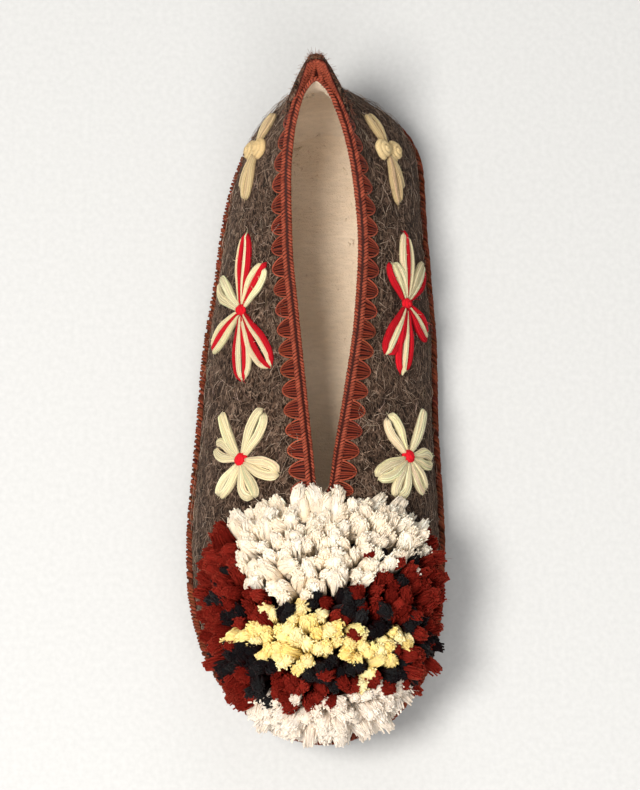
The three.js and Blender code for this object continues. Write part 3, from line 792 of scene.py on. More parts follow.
def felt_hairs(name, count, length, radius, lift, steps):
    """Loose wool fibres over the felt, clear of the pompom."""
    low = FELT_HAIR["low"]
    high = FELT_HAIR["high"]
    u, v = scatter(count, low, high, lambda u, v: ~(is_vamp(u) & (v > FELT_HAIR["vamp"])))
    count = len(u)
    paths, normals, widths = wall_hairs(
        u,
        v,
        offset=np.zeros(count),
        out=1.0,
        length=rng.uniform(*FELT_HAIR_SIZES["length"], count) * length,
        radius=rng.uniform(*FELT_HAIR_SIZES["radius"], count) * radius,
        lift=rng.uniform(*FELT_HAIR_SIZES["lift"], count) * lift,
        flow=0.0,
        spread=FELT_HAIR["spread"],
        steps=steps,
    )
    shapes = Shapes()
    picks = rng.choice(len(FIBRES), count, p=FIBRE_SHARES)
    shapes.yarns(paths, normals, widths, vary(1, count, SHADES["felt"]) * np.array(FIBRES)[picks])
    piece(name, shapes, FELT_FIBRE)


def fleece_pile():
    """Short pile on the lining, combed down the wall, with a soft fringe along the collar."""
    shapes = Shapes()
    for values in PILE_ROWS:
        row = dict(zip(PILE_COLUMNS, values))
        u, v = scatter(
            row["count"], row["low"], row["high"], lambda u, v: ~is_vamp(u) | (v < PILE_PLACE["vamp"])
        )
        count = len(u)
        paths, normals, widths = wall_hairs(
            u,
            v,
            offset=PILE["sunk"] - WALL_THICKNESS * thinned(u, v),
            out=-1.0,
            length=rng.uniform(*PILE_SIZES["length"], count) * row["length"],
            radius=rng.uniform(*PILE_SIZES["radius"], count) * PILE["radius"],
            lift=rng.uniform(*PILE["lift"], count),
            flow=-np.pi / 2,
            spread=PILE_PLACE["spread"],
            steps=PILE["steps"],
        )
        shapes.yarns(paths, normals, widths, vary(FLEECE, count, SHADES["fleece"]))
    piece("fleece_pile", shapes, FLEECE_PILE)


# Sole and insole

SPINE_STEPS = 14
SPINE_CROWDING = 1.8  # of the steps towards the edge
SOLE_TOP_EDGE = {"in": 0.4, "down": 0.5}


def slab(rings):
    """Closed slab under the foot from (offset, height over plan) rings, filled towards its spine."""

    def ring(offset, height, share):
        edge = wall(COLUMN_U, 0.0, offset)
        spine = 0.5 * (edge + edge[-np.arange(COLUMNS)])
        made = edge + (spine - edge) * share
        made[:, 2] = height(made)
        return made

    inward = np.linspace(1, 0, SPINE_STEPS) ** SPINE_CROWDING
    loops = [ring(*rings[0], share) for share in inward]
    loops += [ring(*middle, 0.0) for middle in rings[1:-1]]
    loops += [ring(*rings[-1], share) for share in inward[::-1]]
    return np.stack(loops, 1), [grid(COLUMNS, len(loops), loop=True)]


def outsole():
    def rounded(turn):
        side = SOLE_LEDGE - SOLE_EDGE_ROUND * (1 - math.sin(turn))
        return side, lambda plan: sole_bottom(-plan[:, 1]) + SOLE_EDGE_ROUND * (1 - math.cos(turn))

    rings = [rounded(turn) for turn in np.radians((0, 22, 45, 67, 90))]
    rings.append((SOLE_LEDGE, lambda plan: sole_top(-plan[:, 1]) - SOLE_TOP_EDGE["down"]))
    rings.append((SOLE_LEDGE - SOLE_TOP_EDGE["in"], lambda plan: sole_top(-plan[:, 1])))
    shapes = Shapes()
    shapes.add(*slab(rings), SUEDE)
    piece("suede_outsole", shapes, SOLE_SUEDE, ["outsole"], weld=True)


def insole_top(points):
    return sole_top(-points[..., 1]) + SEAT + INSOLE_THICKNESS - INSOLE_SUNK


def insole_pile(shapes):
    """Short pile on the insole, combed towards the toe."""
    count = INSOLE_PILE["count"]
    u = rng.uniform(0, LOOP, count)
    share = 1 - np.sqrt(rng.uniform(0, 1, count))
    foot = wall(u, 0.0, INSOLE_EDGE)
    spine = 0.5 * (foot + wall(-u, 0.0, INSOLE_EDGE))
    root = foot + (spine - foot) * share[:, None]
    root[:, 2] = insole_top(root) - INSOLE_PILE["sunk"]
    heading = rng.normal(-np.pi / 2, INSOLE_PILE["spread"], count)
    lean = np.stack([np.cos(heading), np.sin(heading), np.full(count, INSOLE_PILE["rise"])], -1)
    t = np.linspace(0, 1, INSOLE_HAIR["steps"])
    hump = np.stack([0 * t, 0 * t, INSOLE_PILE["hump"] * np.sin(np.pi * t)], -1)
    reach = rng.uniform(*INSOLE_PILE["length"], count)[:, None, None]
    paths = root[:, None] + reach * (INSOLE_HAIR["flat"] * lean[:, None] * t[:, None] + hump)
    widths = INSOLE_HAIR["radius"] * (1 - INSOLE_HAIR["thinner"] * t**2)[None]
    shapes.yarns(paths, np.array([0.0, 0.0, 1.0]), widths, vary(FLEECE, count, SHADES["fleece"]))


def insole():
    rings = [
        (INSOLE_EDGE, lambda plan: sole_top(-plan[:, 1]) + SEAT),
        (INSOLE_EDGE + INSOLE_BULGE, lambda plan: sole_top(-plan[:, 1]) + SEAT + 0.5 * INSOLE_THICKNESS),
        (INSOLE_EDGE, insole_top),
    ]
    shapes = Shapes()
    shapes.add(*slab(rings), FLEECE)
    insole_pile(shapes)
    piece("fleece_insole", shapes, FLEECE_PILE, ["insole"])


# Overcast seam between sole and wall

STITCH = {"pitch": 1.25, "lean": 3.2, "wander": 0.3, "from": -80, "sweep": 215, "uneven": 0.06}
STITCH_STAND = {"least": 0.35, "spread": 0.18, "dive": 0.6}  # its ends dive into the cloth
STITCH_YARN = {"half_width": (0.38, 0.55), "flat": 0.75, "sides": 6, "steps": 7}
SEAM_SIDES = 12
SEAM_PAINTED_SHADE = 0.55  # painted shade: the roll under the stitches, as a share of their colour
SEAM_MIDDLE = {"offset": 0.7, "rise": 2.0}
SEAM_HALVES = {"offset": 1.05, "rise": 2.45}


def seam_point(u, turn, stand):
    """A point round the seam's roll, which lies along the sole's top edge."""
    offset = SEAM_MIDDLE["offset"] + (SEAM_HALVES["offset"] + stand) * np.cos(turn)
    point = wall(u, 0.0, offset)
    rise = SEAM_MIDDLE["rise"] + (SEAM_HALVES["rise"] + stand) * np.sin(turn)
    point[..., 2] = sole_top(-point[..., 1]) + rise
    return point


def base_positions(pitch):
    """Even steps round the wall's foot, and the u of one millimetre at each."""
    u = np.linspace(0, LOOP, LENGTH_STEPS["foot"])
    lengths = path_lengths(wall(u, 0.0))
    count = int(round(lengths[-1] / pitch))
    even = np.interp(np.arange(count) * lengths[-1] / count, lengths, u)
    per_mm = np.interp(even, u, np.gradient(u, lengths))
    return even, per_mm


def seam_roll(shapes):
    """The roll that the stitches lie round, darkened as painted shade under them."""
    u = COLUMN_U[:, None]
    roll = seam_point(u, np.linspace(0, 2 * np.pi, SEAM_SIDES, endpoint=False)[None], 0.0)
    shade = SEAM_PAINTED_SHADE * (0.75 + 0.25 * np.sin(37 * u) * np.sin(23 * u + 1))
    tints = np.repeat(shade, SEAM_SIDES, 0) * np.array(STITCH_RUST)
    shapes.add(roll, [grid(COLUMNS, SEAM_SIDES, loop=True, row_loop=True)], tints)


def sole_stitches():
    shapes = Shapes()
    seam_roll(shapes)
    even, per_mm = base_positions(STITCH["pitch"])
    count = len(even)
    t = np.linspace(0, 1, STITCH_YARN["steps"])
    wander = rng.normal(0, STITCH["wander"], (count, 1))
    at = even[:, None] + (STITCH["lean"] * (t - 0.5) + wander) * per_mm[:, None]
    turns = np.radians(STITCH["from"] + STITCH["sweep"] * t) + rng.normal(0, STITCH["uneven"], (count, 1))
    stand = STITCH_STAND["least"] + STITCH_STAND["spread"] * rng.uniform(size=(count, 1))
    stand = stand - STITCH_STAND["dive"] * np.abs(2 * t - 1) ** 6
    paths = seam_point(at, turns, stand)
    out = unit(paths - seam_point(at, turns, stand - 1.0))
    widths = rng.uniform(*STITCH_YARN["half_width"], (count, 1))
    heights = STITCH_YARN["flat"] * widths
    tints = vary(STITCH_RUST, count, SHADES["stitch"])
    shapes.yarns(paths, out, widths, tints, heights, STITCH_YARN["sides"])
    piece("overcast_stitches", shapes, EMBROIDERY_YARN, ["sole_seam"])


# Collar braid

CORDS = ((-0.85, 1), (0.8, -1))  # place across the collar's edge and the way each cord twists
CORD = {"pitch": 2.4, "orbit": 0.4, "flat": 1.5, "radius": 0.45, "uneven": 0.12, "sides": 7}
# How a cord sways along its length and where highlights are painted on its plies, with paces in radians per
# millimetre
CORD_SWAY = {"slow": 0.5, "slow_pace": 0.31, "quick": 0.35, "quick_pace": 0.83, "radius_pace": 1.3}
CORD_PAINTED_HIGHLIGHT = {"middle": 0.35, "crowns": 0.5, "painted_glints": 0.3, "pace": 0.9, "slow_pace": 0.37}
CORD_RUN = {"stand": 0.85, "step": 0.3}
CORD_GROUND = {"half_width": 1.75, "half_height": 0.4, "stand": 0.3, "step": 1.2, "sides": 10}
# The ground under the cords is a darkened copy of the braid's rust: painted shade in the gaps between the
# plies
CORD_SHADOW = 0.45 * np.array(BRAID_RUST)
FAN = {"base": 3.5, "tip": 2.1, "from": 0.9, "to": 7.8, "round": 2.3, "ragged": 0.15, "narrows": 0.75}
FAN_STEPS = {"threads": 9, "edge": 21}
FAN_THREADS = {"count": 6, "spread": 0.85, "uneven": 0.05, "radius": 0.3, "sides": 5}
FAN_EDGE = {"wider": 0.25, "narrowed": 0.28, "blunt": 0.75, "sunk": 0.45}
FAN_GROUND = {"count": 8, "spread": 0.9, "radius": 0.5, "sides": 4}
# The ground threads under each scallop are darkened likewise: painted shade between its threads
FAN_SHADOW = 0.5 * np.array(BRAID_RUST)
FAN_STAND = {"base": 0.95, "tip": 0.5, "crown": 0.4, "ground": 0.45}


def collar_lengths():
    """u and length along the collar from the medial throat round the heel to the lateral throat."""
    u = np.linspace(LOOP - THROAT + BRAID_END, LOOP + THROAT - BRAID_END, LENGTH_STEPS["collar"])
    return u, path_lengths(wall(u, 1.0))


COLLAR_U, COLLAR_LENGTH = collar_lengths()


def at_collar(length, across, stand):
    """Point and outward direction at this length of the collar. across runs down the wall from its
    edge, and a minus runs inward over the edge."""
    u = np.interp(length, COLLAR_LENGTH, COLLAR_U)
    _, _, upper, top = wall_handles(u, 0.0)
    speed = 3 * np.linalg.norm(top - upper, axis=-1)
    here = wall_frame(u, 1 - np.maximum(across, 0) / speed)
    turn = 0.5 * np.pi * np.clip(0.5 * (1 - across), 0, 1)
    out = np.cos(turn)[..., None] * here.normal + np.sin(turn)[..., None] * here.up
    over = np.maximum(-across, 0)
    return here.point - here.normal * over[..., None] + out * np.asarray(stand)[..., None], out


def twisted_cord(shapes, path, normal, way):
    """Two plies that wind round each other along a path."""
    length = path_lengths(path)
    side = unit(np.cross(np.gradient(path, axis=0), normal))
    sway = CORD_SWAY["slow"] * np.sin(CORD_SWAY["slow_pace"] * length + path[0, 0])
    sway = sway + CORD_SWAY["quick"] * np.sin(CORD_SWAY["quick_pace"] * length)
    for ply in range(2):
        phase = way * 2 * np.pi * length / CORD["pitch"] + np.pi * ply + sway
        swing = CORD["flat"] * CORD["orbit"] * np.cos(phase)
        wound = path + side * swing[:, None] + normal * (CORD["orbit"] * np.sin(phase))[:, None]
        uneven = CORD["uneven"] * np.sin(CORD_SWAY["radius_pace"] * length + 2 * ply)
        radius = CORD["radius"] * (1 + uneven)
        points, faces = tubes(wound[None], normal[None], radius[None], None, CORD["sides"])
        # Painted highlight: each ply is mixed from the rust towards the salmon colour on its crowns and at
        # scattered glints
        painted_glints = CORD_PAINTED_HIGHLIGHT["painted_glints"] * np.sin(CORD_PAINTED_HIGHLIGHT["pace"] * length + ply)
        painted_glints = painted_glints * np.sin(CORD_PAINTED_HIGHLIGHT["slow_pace"] * length)
        painted_highlight = np.clip(CORD_PAINTED_HIGHLIGHT["middle"] + CORD_PAINTED_HIGHLIGHT["crowns"] * np.sin(phase) + painted_glints, 0, 1)
        tints = np.array(BRAID_RUST) + painted_highlight[:, None] * np.subtract(BRAID_PAINTED_HIGHLIGHT, BRAID_RUST)
        shapes.add(points, faces, np.repeat(tints, CORD["sides"], 0))


def flat_cord(shapes, path, normal, size):
    """The cord that lies under twisted ones, darkened as painted shade in the gaps between them."""
    wide = size["half_width"]
    shapes.yarns(path[None], normal[None], wide, [CORD_SHADOW], size["half_height"], size["sides"])


def collar_cords(shapes):
    """Two cords twisted opposite ways, which bind the collar's edge like a chain stitch."""
    total = COLLAR_LENGTH[-1]
    under = np.linspace(0, total, int(total / CORD_GROUND["step"]))
    flat_cord(shapes, *at_collar(under, np.zeros(len(under)), CORD_GROUND["stand"]), CORD_GROUND)
    length = np.linspace(0, total, int(total / CORD_RUN["step"]))
    for middle, way in CORDS:
        twisted_cord(shapes, *at_collar(length, np.full(len(length), middle), CORD_RUN["stand"]), way)


def fan(middle, spread, stand_by):
    """One scallop's threads from the plait to its round edge, as paths and outward directions."""
    t = spread[:, None]
    q = np.linspace(0, 1, FAN_STEPS["threads"])[None]
    along_edge = t * (FAN["base"] + (FAN["tip"] - FAN["base"]) * q ** FAN["narrows"])
    reach = FAN["to"] - FAN["round"] * t**2 + rng.normal(0, FAN["ragged"], t.shape)
    across = FAN["from"] + (reach - FAN["from"]) * q
    stand = FAN_STAND["base"] + (FAN_STAND["tip"] - FAN_STAND["base"]) * q
    stand = stand + FAN_STAND["crown"] * np.sin(np.pi * q) - stand_by
    return at_collar(middle + along_edge, across, stand)


def fan_edge(middle):
    """The thread that binds a scallop's edge."""
    turn = np.linspace(0, np.pi, FAN_STEPS["edge"])[None]
    half = FAN["base"] + FAN_EDGE["wider"]
    along_edge = -half * np.cos(turn) * (1 - FAN_EDGE["narrowed"] * np.sin(turn))
    across = FAN["from"] + (FAN["to"] - FAN["from"]) * np.sin(turn) ** FAN_EDGE["blunt"]
    stand = FAN_STAND["base"] - FAN_EDGE["sunk"] * np.sin(turn)
    return at_collar(middle + along_edge, across, stand)


def collar_braid():
    shapes = Shapes()
    collar_cords(shapes)
    total = COLLAR_LENGTH[-1]
    count = int(round(total / SCALLOP_PITCH))
    pitch = total / count

    def threads(place, size, colour):
        paths, out = place
        tints = vary(colour, len(paths), SHADES["braid"])
        shapes.yarns(paths, out, size["radius"], tints, sides=size["sides"])

    def spread(size):
        return np.linspace(-size["spread"], size["spread"], size["count"])

    for k in range(count):
        middle = (k + 0.5) * pitch
        threads(fan(middle, spread(FAN_GROUND), FAN_STAND["ground"]), FAN_GROUND, FAN_SHADOW)
        uneven = rng.normal(0, FAN_THREADS["uneven"], FAN_THREADS["count"])
        threads(fan(middle, spread(FAN_THREADS) + uneven, 0.0), FAN_THREADS, BRAID_THREAD)
        # The scallop's edge thread is painted in the salmon highlight colour
        threads(fan_edge(middle), FAN_THREADS, BRAID_PAINTED_HIGHLIGHT)
    piece("gimp_braid", shapes, GIMP_THREAD, ["collar_braid"])


def heel_peak(across, up):
    """Point and front normal on the peak that grows from the heel's rim, across -1 to 1 and up 0 to 1."""

    def point(across, up):
        lean = math.radians(TAB["lean"])
        rise = TAB["length"] * np.array([0.0, math.sin(lean), math.cos(lean)])
        sideways = across[..., None] * np.array([-1.0, 0.0, 0.0])
        rim = wall(PEAK["reach"] * across, 1 - PEAK["drop"] * across**2, PEAK["stand"])
        tip = wall(0.0, 1.0) + rise + 0.5 * TAB["tip"] * sideways
        return rim + (tip - rim) * up[..., None]

    nudge = 0.01
    along_across = point(across + nudge, up) - point(across - nudge, up)
    along_up = point(across, up + nudge) - point(across, up - nudge)
    return point(across, up), unit(np.cross(along_up, along_across))


def heel_tongue():
    """Felt that runs up behind the braid to the tip of the peak."""
    up = np.linspace(TONGUE["from"], 1, TONGUE["levels"])
    across, up = np.meshgrid(np.linspace(-1, 1, TONGUE["columns"]), up)
    front, normal = heel_peak(across, np.minimum(up, TONGUE["tip"]))
    back = front - PEAK["thickness"] * ease(up, 0, TONGUE["swollen"])[..., None] * normal
    rings = np.concatenate([front, back[:, ::-1]], axis=1)
    levels, size, _ = rings.shape
    shapes = Shapes()
    first = np.arange(size)[None]
    shapes.add(rings, [grid(levels, size, row_loop=True), first, (first + (levels - 1) * size)[:, ::-1]])
    piece("heel_tongue_felt", shapes, FELT)


def peak_cords(shapes):
    """Braid that climbs both sides of the peak, over a ground darkened as painted shade."""
    up = np.linspace(0, 1, PEAK_CORDS["steps"])
    for place in PEAK_CORDS["places"]:
        short = PEAK_CORDS["short"] * place
        for side in (-1, 1):
            path, normal = heel_peak(np.full(len(up), side * place), up * (1 - short))
            twisted_cord(shapes, path + PEAK_CORDS["stand"] * normal, normal, side)
            across = np.full(len(up), side * (place - PEAK_GROUND["aside"]))
            path, normal = heel_peak(across, up * (PEAK_GROUND["top"] - short))
            flat_cord(shapes, path + PEAK_GROUND["stand"] * normal, normal, PEAK_GROUND)


def peak_fray(shapes):
    """Loose fibre of the felt round the peak's edges."""
    count = FRAY["count"]
    across = rng.choice((-1, 1), count) * rng.uniform(*FRAY["sides"], count)
    at_tip = rng.uniform(0, 1, count) < FRAY["at_tip"]
    across = np.where(at_tip, rng.uniform(-FRAY["tip"], FRAY["tip"], count), across)
    root, normal = heel_peak(across, np.where(at_tip, FRAY_HEIGHT["tip"], rng.uniform(0, 1, count)))
    root = root - PEAK["thickness"] * rng.uniform(0, 1, (count, 1)) * normal
    middle, _ = heel_peak(np.zeros(count), np.full(count, FRAY_HEIGHT["middle"]))
    outward = unit(root - middle)
    heading = unit(outward + FRAY["loose"] * rng.standard_normal((count, 3)))
    t = np.linspace(0, 1, 3)[None, :, None]
    paths = root[:, None] + heading[:, None] * t * rng.uniform(*FRAY["length"], (count, 1, 1))
    paths = paths + FRAY["loose"] * rng.standard_normal((count, 1, 3)) * t**2
    shapes.yarns(paths, normal[:, None], FRAY_RADII, vary(FRAY_RUST, count, SHADES["fray"]))


def heel_tab():
    shapes = Shapes()
    peak_cords(shapes)
    peak_fray(shapes)
    piece("heel_tab_roll", shapes, GIMP_THREAD, ["heel_tab"])


# Yarn flowers


class Flower:
    """Places on the wall round one flower's middle, in millimetres towards the toe and up the wall."""

    def __init__(self, row):
        self.facts = dict(zip(FLOWER_COLUMNS, row))
        side = self.facts["side"]
        self.u = self.facts["section"] if side < 0 else LOOP - self.facts["section"]
        here = wall_frame(self.u, self.facts["rise"])
        self.u_per_mm = -side / here.per_u
        self.v_per_mm = 1 / here.per_v

    def at(self, ahead, up, stand):
        u = self.u + ahead * self.u_per_mm
        v = np.clip(self.facts["rise"] + up * self.v_per_mm, 0.02, 1.0)
        here = wall_frame(u, v)
        return here.point + here.normal * (SEAT + stand)[..., None], here.normal


def leaf(t):
    """A petal's width from its middle to its blunt tip."""
    waist = PETAL["waist"]
    widest = PETAL["widest"]
    rise = waist + (1 - waist) * np.sin(0.5 * np.pi * np.clip(t / widest, 0, 1)) ** PETAL_CURVE["rise"]
    fall = np.clip((t - widest) / (1 - widest), 0, 1) ** PETAL_CURVE["fall"]
    return rise * np.sqrt(1 - PETAL["blunt"] * fall)


def filaments(shapes, path, normal, wide, thick, tint):
    """Fine threads along the upper side of a satin strand."""
    side = unit(np.cross(np.gradient(path, axis=0), normal))
    reach = FILAMENT["reach"]
    places = np.linspace(-reach, reach, FILAMENTS) + rng.normal(0, FILAMENT["uneven"], FILAMENTS)
    t = np.linspace(0, 1, len(path))
    wander = FILAMENT["wander"] * np.sin(2 * np.pi * (t + rng.uniform(0, 1, (FILAMENTS, 1))))
    across = np.clip(places[:, None] + wander, -1, 1)
    lift = FILAMENT["sunk"] * thick * np.sqrt(1 - FILAMENT["round"] * across**2)
    paths = path + side * (wide * across)[..., None] + normal * lift[..., None]
    radius = wide / FILAMENTS * rng.uniform(*FILAMENT_WIDTHS, (FILAMENTS, 1))
    tints = vary(tint[0], FILAMENTS, FILAMENT_SHADES)
    shapes.yarns(paths, normal[None], radius, tints, sides=FILAMENT["sides"])


def petal(shapes, flower, angle, length, strands):
    """Satin strands side by side from the flower's middle to a petal's tip."""
    kind = flower.facts["kind"]
    count = len(strands)
    width = PETAL_WIDTH[kind] * (LONE_STRAND if count == 1 else 1.0)
    turn = math.radians(angle)
    t = np.linspace(0, 1, PETAL["steps"])
    shape = leaf(t)
    full = np.where(t < PETAL["widest"], shape, 0.5 + 0.5 * shape)
    ends = np.clip(np.minimum(t, 1 - t) / PETAL["ends"], 0, 1) ** 0.5 * 0.75 + 0.25
    thick = PETAL_HEIGHT[kind] * (0.7 + 0.3 * np.sin(np.pi * t)) * ends
    for k, colour in enumerate(strands):
        seat = (k - 0.5 * (count - 1)) * width / count
        slit = SLIT["half_width"] * np.sign(seat) * ease(t, *SLIT["opens"])
        slit = slit * (1 - ease(t, *SLIT["closes"]))
        reach = length - PETAL["from"] - SATIN["outer_short"] * abs(seat)
        out = PETAL["from"] + (reach + rng.normal(0, SATIN["ragged"])) * t
        across = seat * shape + slit + rng.normal(0, SATIN["wander"])
        ahead = out * math.cos(turn) - across * math.sin(turn)
        up = out * math.sin(turn) + across * math.cos(turn)
        stand = SATIN_SEAT["stand"] * thick + SATIN_SEAT["uneven"] * rng.uniform()
        path, normal = flower.at(ahead, up, stand)
        wide = SATIN["overlap"] * width / count * full * ends * rng.uniform(*SATIN_WIDTHS)
        tint = vary(EMBROIDERY[colour], 1, SHADES["satin"])
        # Painted shade: the strand under the filaments is darkened so the gaps between them read dark
        ground = SATIN["shade"] * tint
        shapes.yarns(path[None], normal[None], wide[None], ground, thick[None], SATIN["sides"])
        filaments(shapes, path, normal, wide, thick, tint)
        fuzz(shapes, path, wide, tint)


def knot(shapes, flower, ahead, up, colour):
    """A wound knot: a flat coil of yarn that rises to its middle."""
    radius = KNOT_RADIUS[flower.facts["kind"]]
    t = np.linspace(0, 1, KNOT["steps"])
    turn = 2 * np.pi * KNOT["turns"] * t
    out = radius * (1 - KNOT["drawn_in"] * t)
    stand = KNOT["stand"] + KNOT_HEIGHT[flower.facts["kind"]] * t**0.8
    path, normal = flower.at(ahead + out * np.cos(turn), up + out * np.sin(turn), stand)
    thick = KNOT["yarn"] * radius * (1 - KNOT["thinner"] * t)
    tint = vary(EMBROIDERY[colour], 1, SHADES["satin"])
    shapes.yarns(path[None], normal[None], thick[None], tint, **KNOT_YARN)


def flowers():
    for row in FLOWER_ROWS:
        flower = Flower(row)
        node = flower.facts["node"]
        kind = flower.facts["kind"]
        shapes = Shapes()
        for angle, length, strands in PETALS[node]:
            petal(shapes, flower, angle, length, strands)
        if kind == "sprig":
            for angle, away in SPRIG_KNOTS:
                turn = math.radians(angle)
                knot(shapes, flower, away * math.cos(turn), away * math.sin(turn), "t")
        else:
            knot(shapes, flower, 0.0, 0.0, "r")
        piece(node + "_yarn", shapes, EMBROIDERY_YARN, [node])


# Pompom

# Edges of the colour bundles as angle over x: the angle turns about the X axis from the toe upward
CREAM_FROM = (
    (-36, 140), (-33, 126), (-26, 100), (-20, 91), (-8, 96),
    (6, 92), (16, 104), (30, 121), (44, 145),
)
YELLOW_FROM = ((-40, 53), (-30, 46), (-16, 43), (0, 49), (10, 47), (18, 38), (28, 44), (35, 50))
YELLOW_TO = ((-40, 74), (-30, 77), (-20, 88), (-12, 84), (-5, 91), (5, 78), (15, 71), (25, 75), (35, 77))
WHITE_TO = ((-34, 12), (-26, 21), (-12, 23), (0, 26), (14, 30), (24, 26), (34, 14))
CREAM_SIDES = (-36, 44)
YELLOW_SIDES = (-41, 39)
WHITE_SIDES = (-31, 37)
CREAM_BACK = 215
# Small spots over the bundles, later ones over earlier ones
SPOT_RAGGED = 0.2
SPOT_COLUMNS = ("colour", "angle", "x", "radius")
SPOTS = (
    ("black", 141, -36.5, 4),
    ("black", 132, -43, 5),
    ("black", 83, -36, 5),
    ("black", 84, -12, 4.5),
    ("black", 95, -1, 3.5),
    ("black", 130, 24, 3),
    ("rust", 126, 19, 3.5),
    ("black", 147, 32, 3),
    ("black", 117, 33, 5),
    ("black", 90, 12, 5),
    ("black", 76, 22, 6),
    ("black", 40, -34, 6),
    ("black", 46, -21, 4),
    ("black", 37, -24, 5),
    ("black", 49, 3, 3),
    ("black", 44, 12, 4.5),
    ("black", 35, 29, 6),
    ("black", 42, -2, 5),
    ("black", 34, 6, 3.5),
    ("black", 60, 43, 5),
    ("black", 10, -40, 6),
    ("black", 5, 41, 6),
    ("black", -20, 44, 6),
    ("black", -15, -44, 6),
    ("black", 148, 35, 4.5),
    ("black", 66, 37, 4.5),
    ("black", 30, 36, 4.5),
    ("black", 24, -26, 5),
    ("white", 172, -38.5, 3),
    ("rust", 166, -41, 5),
)
# Bundles as the solid each stands for, its colours, its slot and the sheen of its wool
BUNDLES = (
    ("pompom_cream", ("cream",), "white_yarn", 0.9),
    ("pompom_yellow", ("yellow",), "yellow_yarn", 0.9),
    ("pompom_white", ("white",), "white_yarn", 0.9),
    ("pompom_rust", ("rust", "black"), "rust_yarn", 0.25),
)


def even_directions(count):
    """Directions spread evenly over a ball."""
    i = np.arange(count)
    z = 1 - (2 * i + 1) / count
    turn = i * np.pi * (3 - np.sqrt(5))
    flat = np.sqrt(1 - z * z)
    return np.stack([flat * np.cos(turn), flat * np.sin(turn), z], -1)


def cell_of(points):
    """Column and row of the one-millimetre cell that each point lies in, on plan."""
    column = np.round(points[..., 0] + HEIGHT_CELLS["left"]).astype(int)
    row = np.round(HEIGHT_CELLS["back"] - points[..., 1]).astype(int)
    return np.clip(column, 0, HEIGHT_CELLS["columns"] - 1), np.clip(row, 0, HEIGHT_CELLS["rows"] - 1)


def wall_heights():
    """The slipper's height in each cell, bridged over the opening, for yarn to lie on."""
    u = np.linspace(0, LOOP, HEIGHT_SAMPLES["u"])[:, None]
    v = np.linspace(0, 1, HEIGHT_SAMPLES["v"])[None]
    points = wall(u, v).reshape(-1, 3)
    cells = np.full((HEIGHT_CELLS["columns"], HEIGHT_CELLS["rows"]), -1.0)
    np.maximum.at(cells, cell_of(points), points[:, 2])
    for heights in cells.T:
        met = np.flatnonzero(heights > 0)
        if len(met):
            inside = np.arange(met[0], met[-1] + 1)
            heights[inside] = np.interp(inside, met, heights[met])
    return cells


def egg_point(angle, x):
    """Point on the pompom's egg at an angle about its X axis, from the toe upward."""
    turn = np.radians(angle)
    flat = np.sqrt(np.maximum(0, 1 - (x / POMPOM_HALVES[0]) ** 2))
    reach = flat / np.hypot(np.cos(turn) / POMPOM_HALVES[1], np.sin(turn) / POMPOM_HALVES[2])
    return np.array([x, -reach * np.cos(turn), reach * np.sin(turn)])


def yarn_colours(tips):
    """The colour of each yarn end from where it lies on the pompom."""
    x = tips[:, 0]
    wave = COLOUR_EDGE["wave"] * np.sin(0.55 * x + 0.13 * tips[:, 1])
    wobble = rng.normal(0, COLOUR_EDGE["ragged"], len(tips)) + wave
    angle = np.degrees(np.arctan2(tips[:, 2], -tips[:, 1]))
    angle = np.where(angle < -90, angle + 360, angle)

    def edge(rows):
        return np.interp(x, *zip(*rows)) + wobble

    def within(sides):
        return (x > sides[0]) & (x < sides[1])

    colours = np.full(len(tips), "rust", dtype="<U8")
    colours[(angle > edge(CREAM_FROM)) & (angle < CREAM_BACK) & within(CREAM_SIDES)] = "cream"
    colours[(angle > edge(YELLOW_FROM)) & (angle < edge(YELLOW_TO)) & within(YELLOW_SIDES)] = "yellow"
    colours[(angle < edge(WHITE_TO)) & within(WHITE_SIDES)] = "white"
    for row in SPOTS:
        spot = dict(zip(SPOT_COLUMNS, row))
        away = np.linalg.norm(tips - egg_point(spot["angle"], spot["x"]), axis=1)
        reach = spot["radius"] * (1 + SPOT_RAGGED * rng.standard_normal(len(tips)))
        colours[away < reach] = spot["colour"]
    return colours


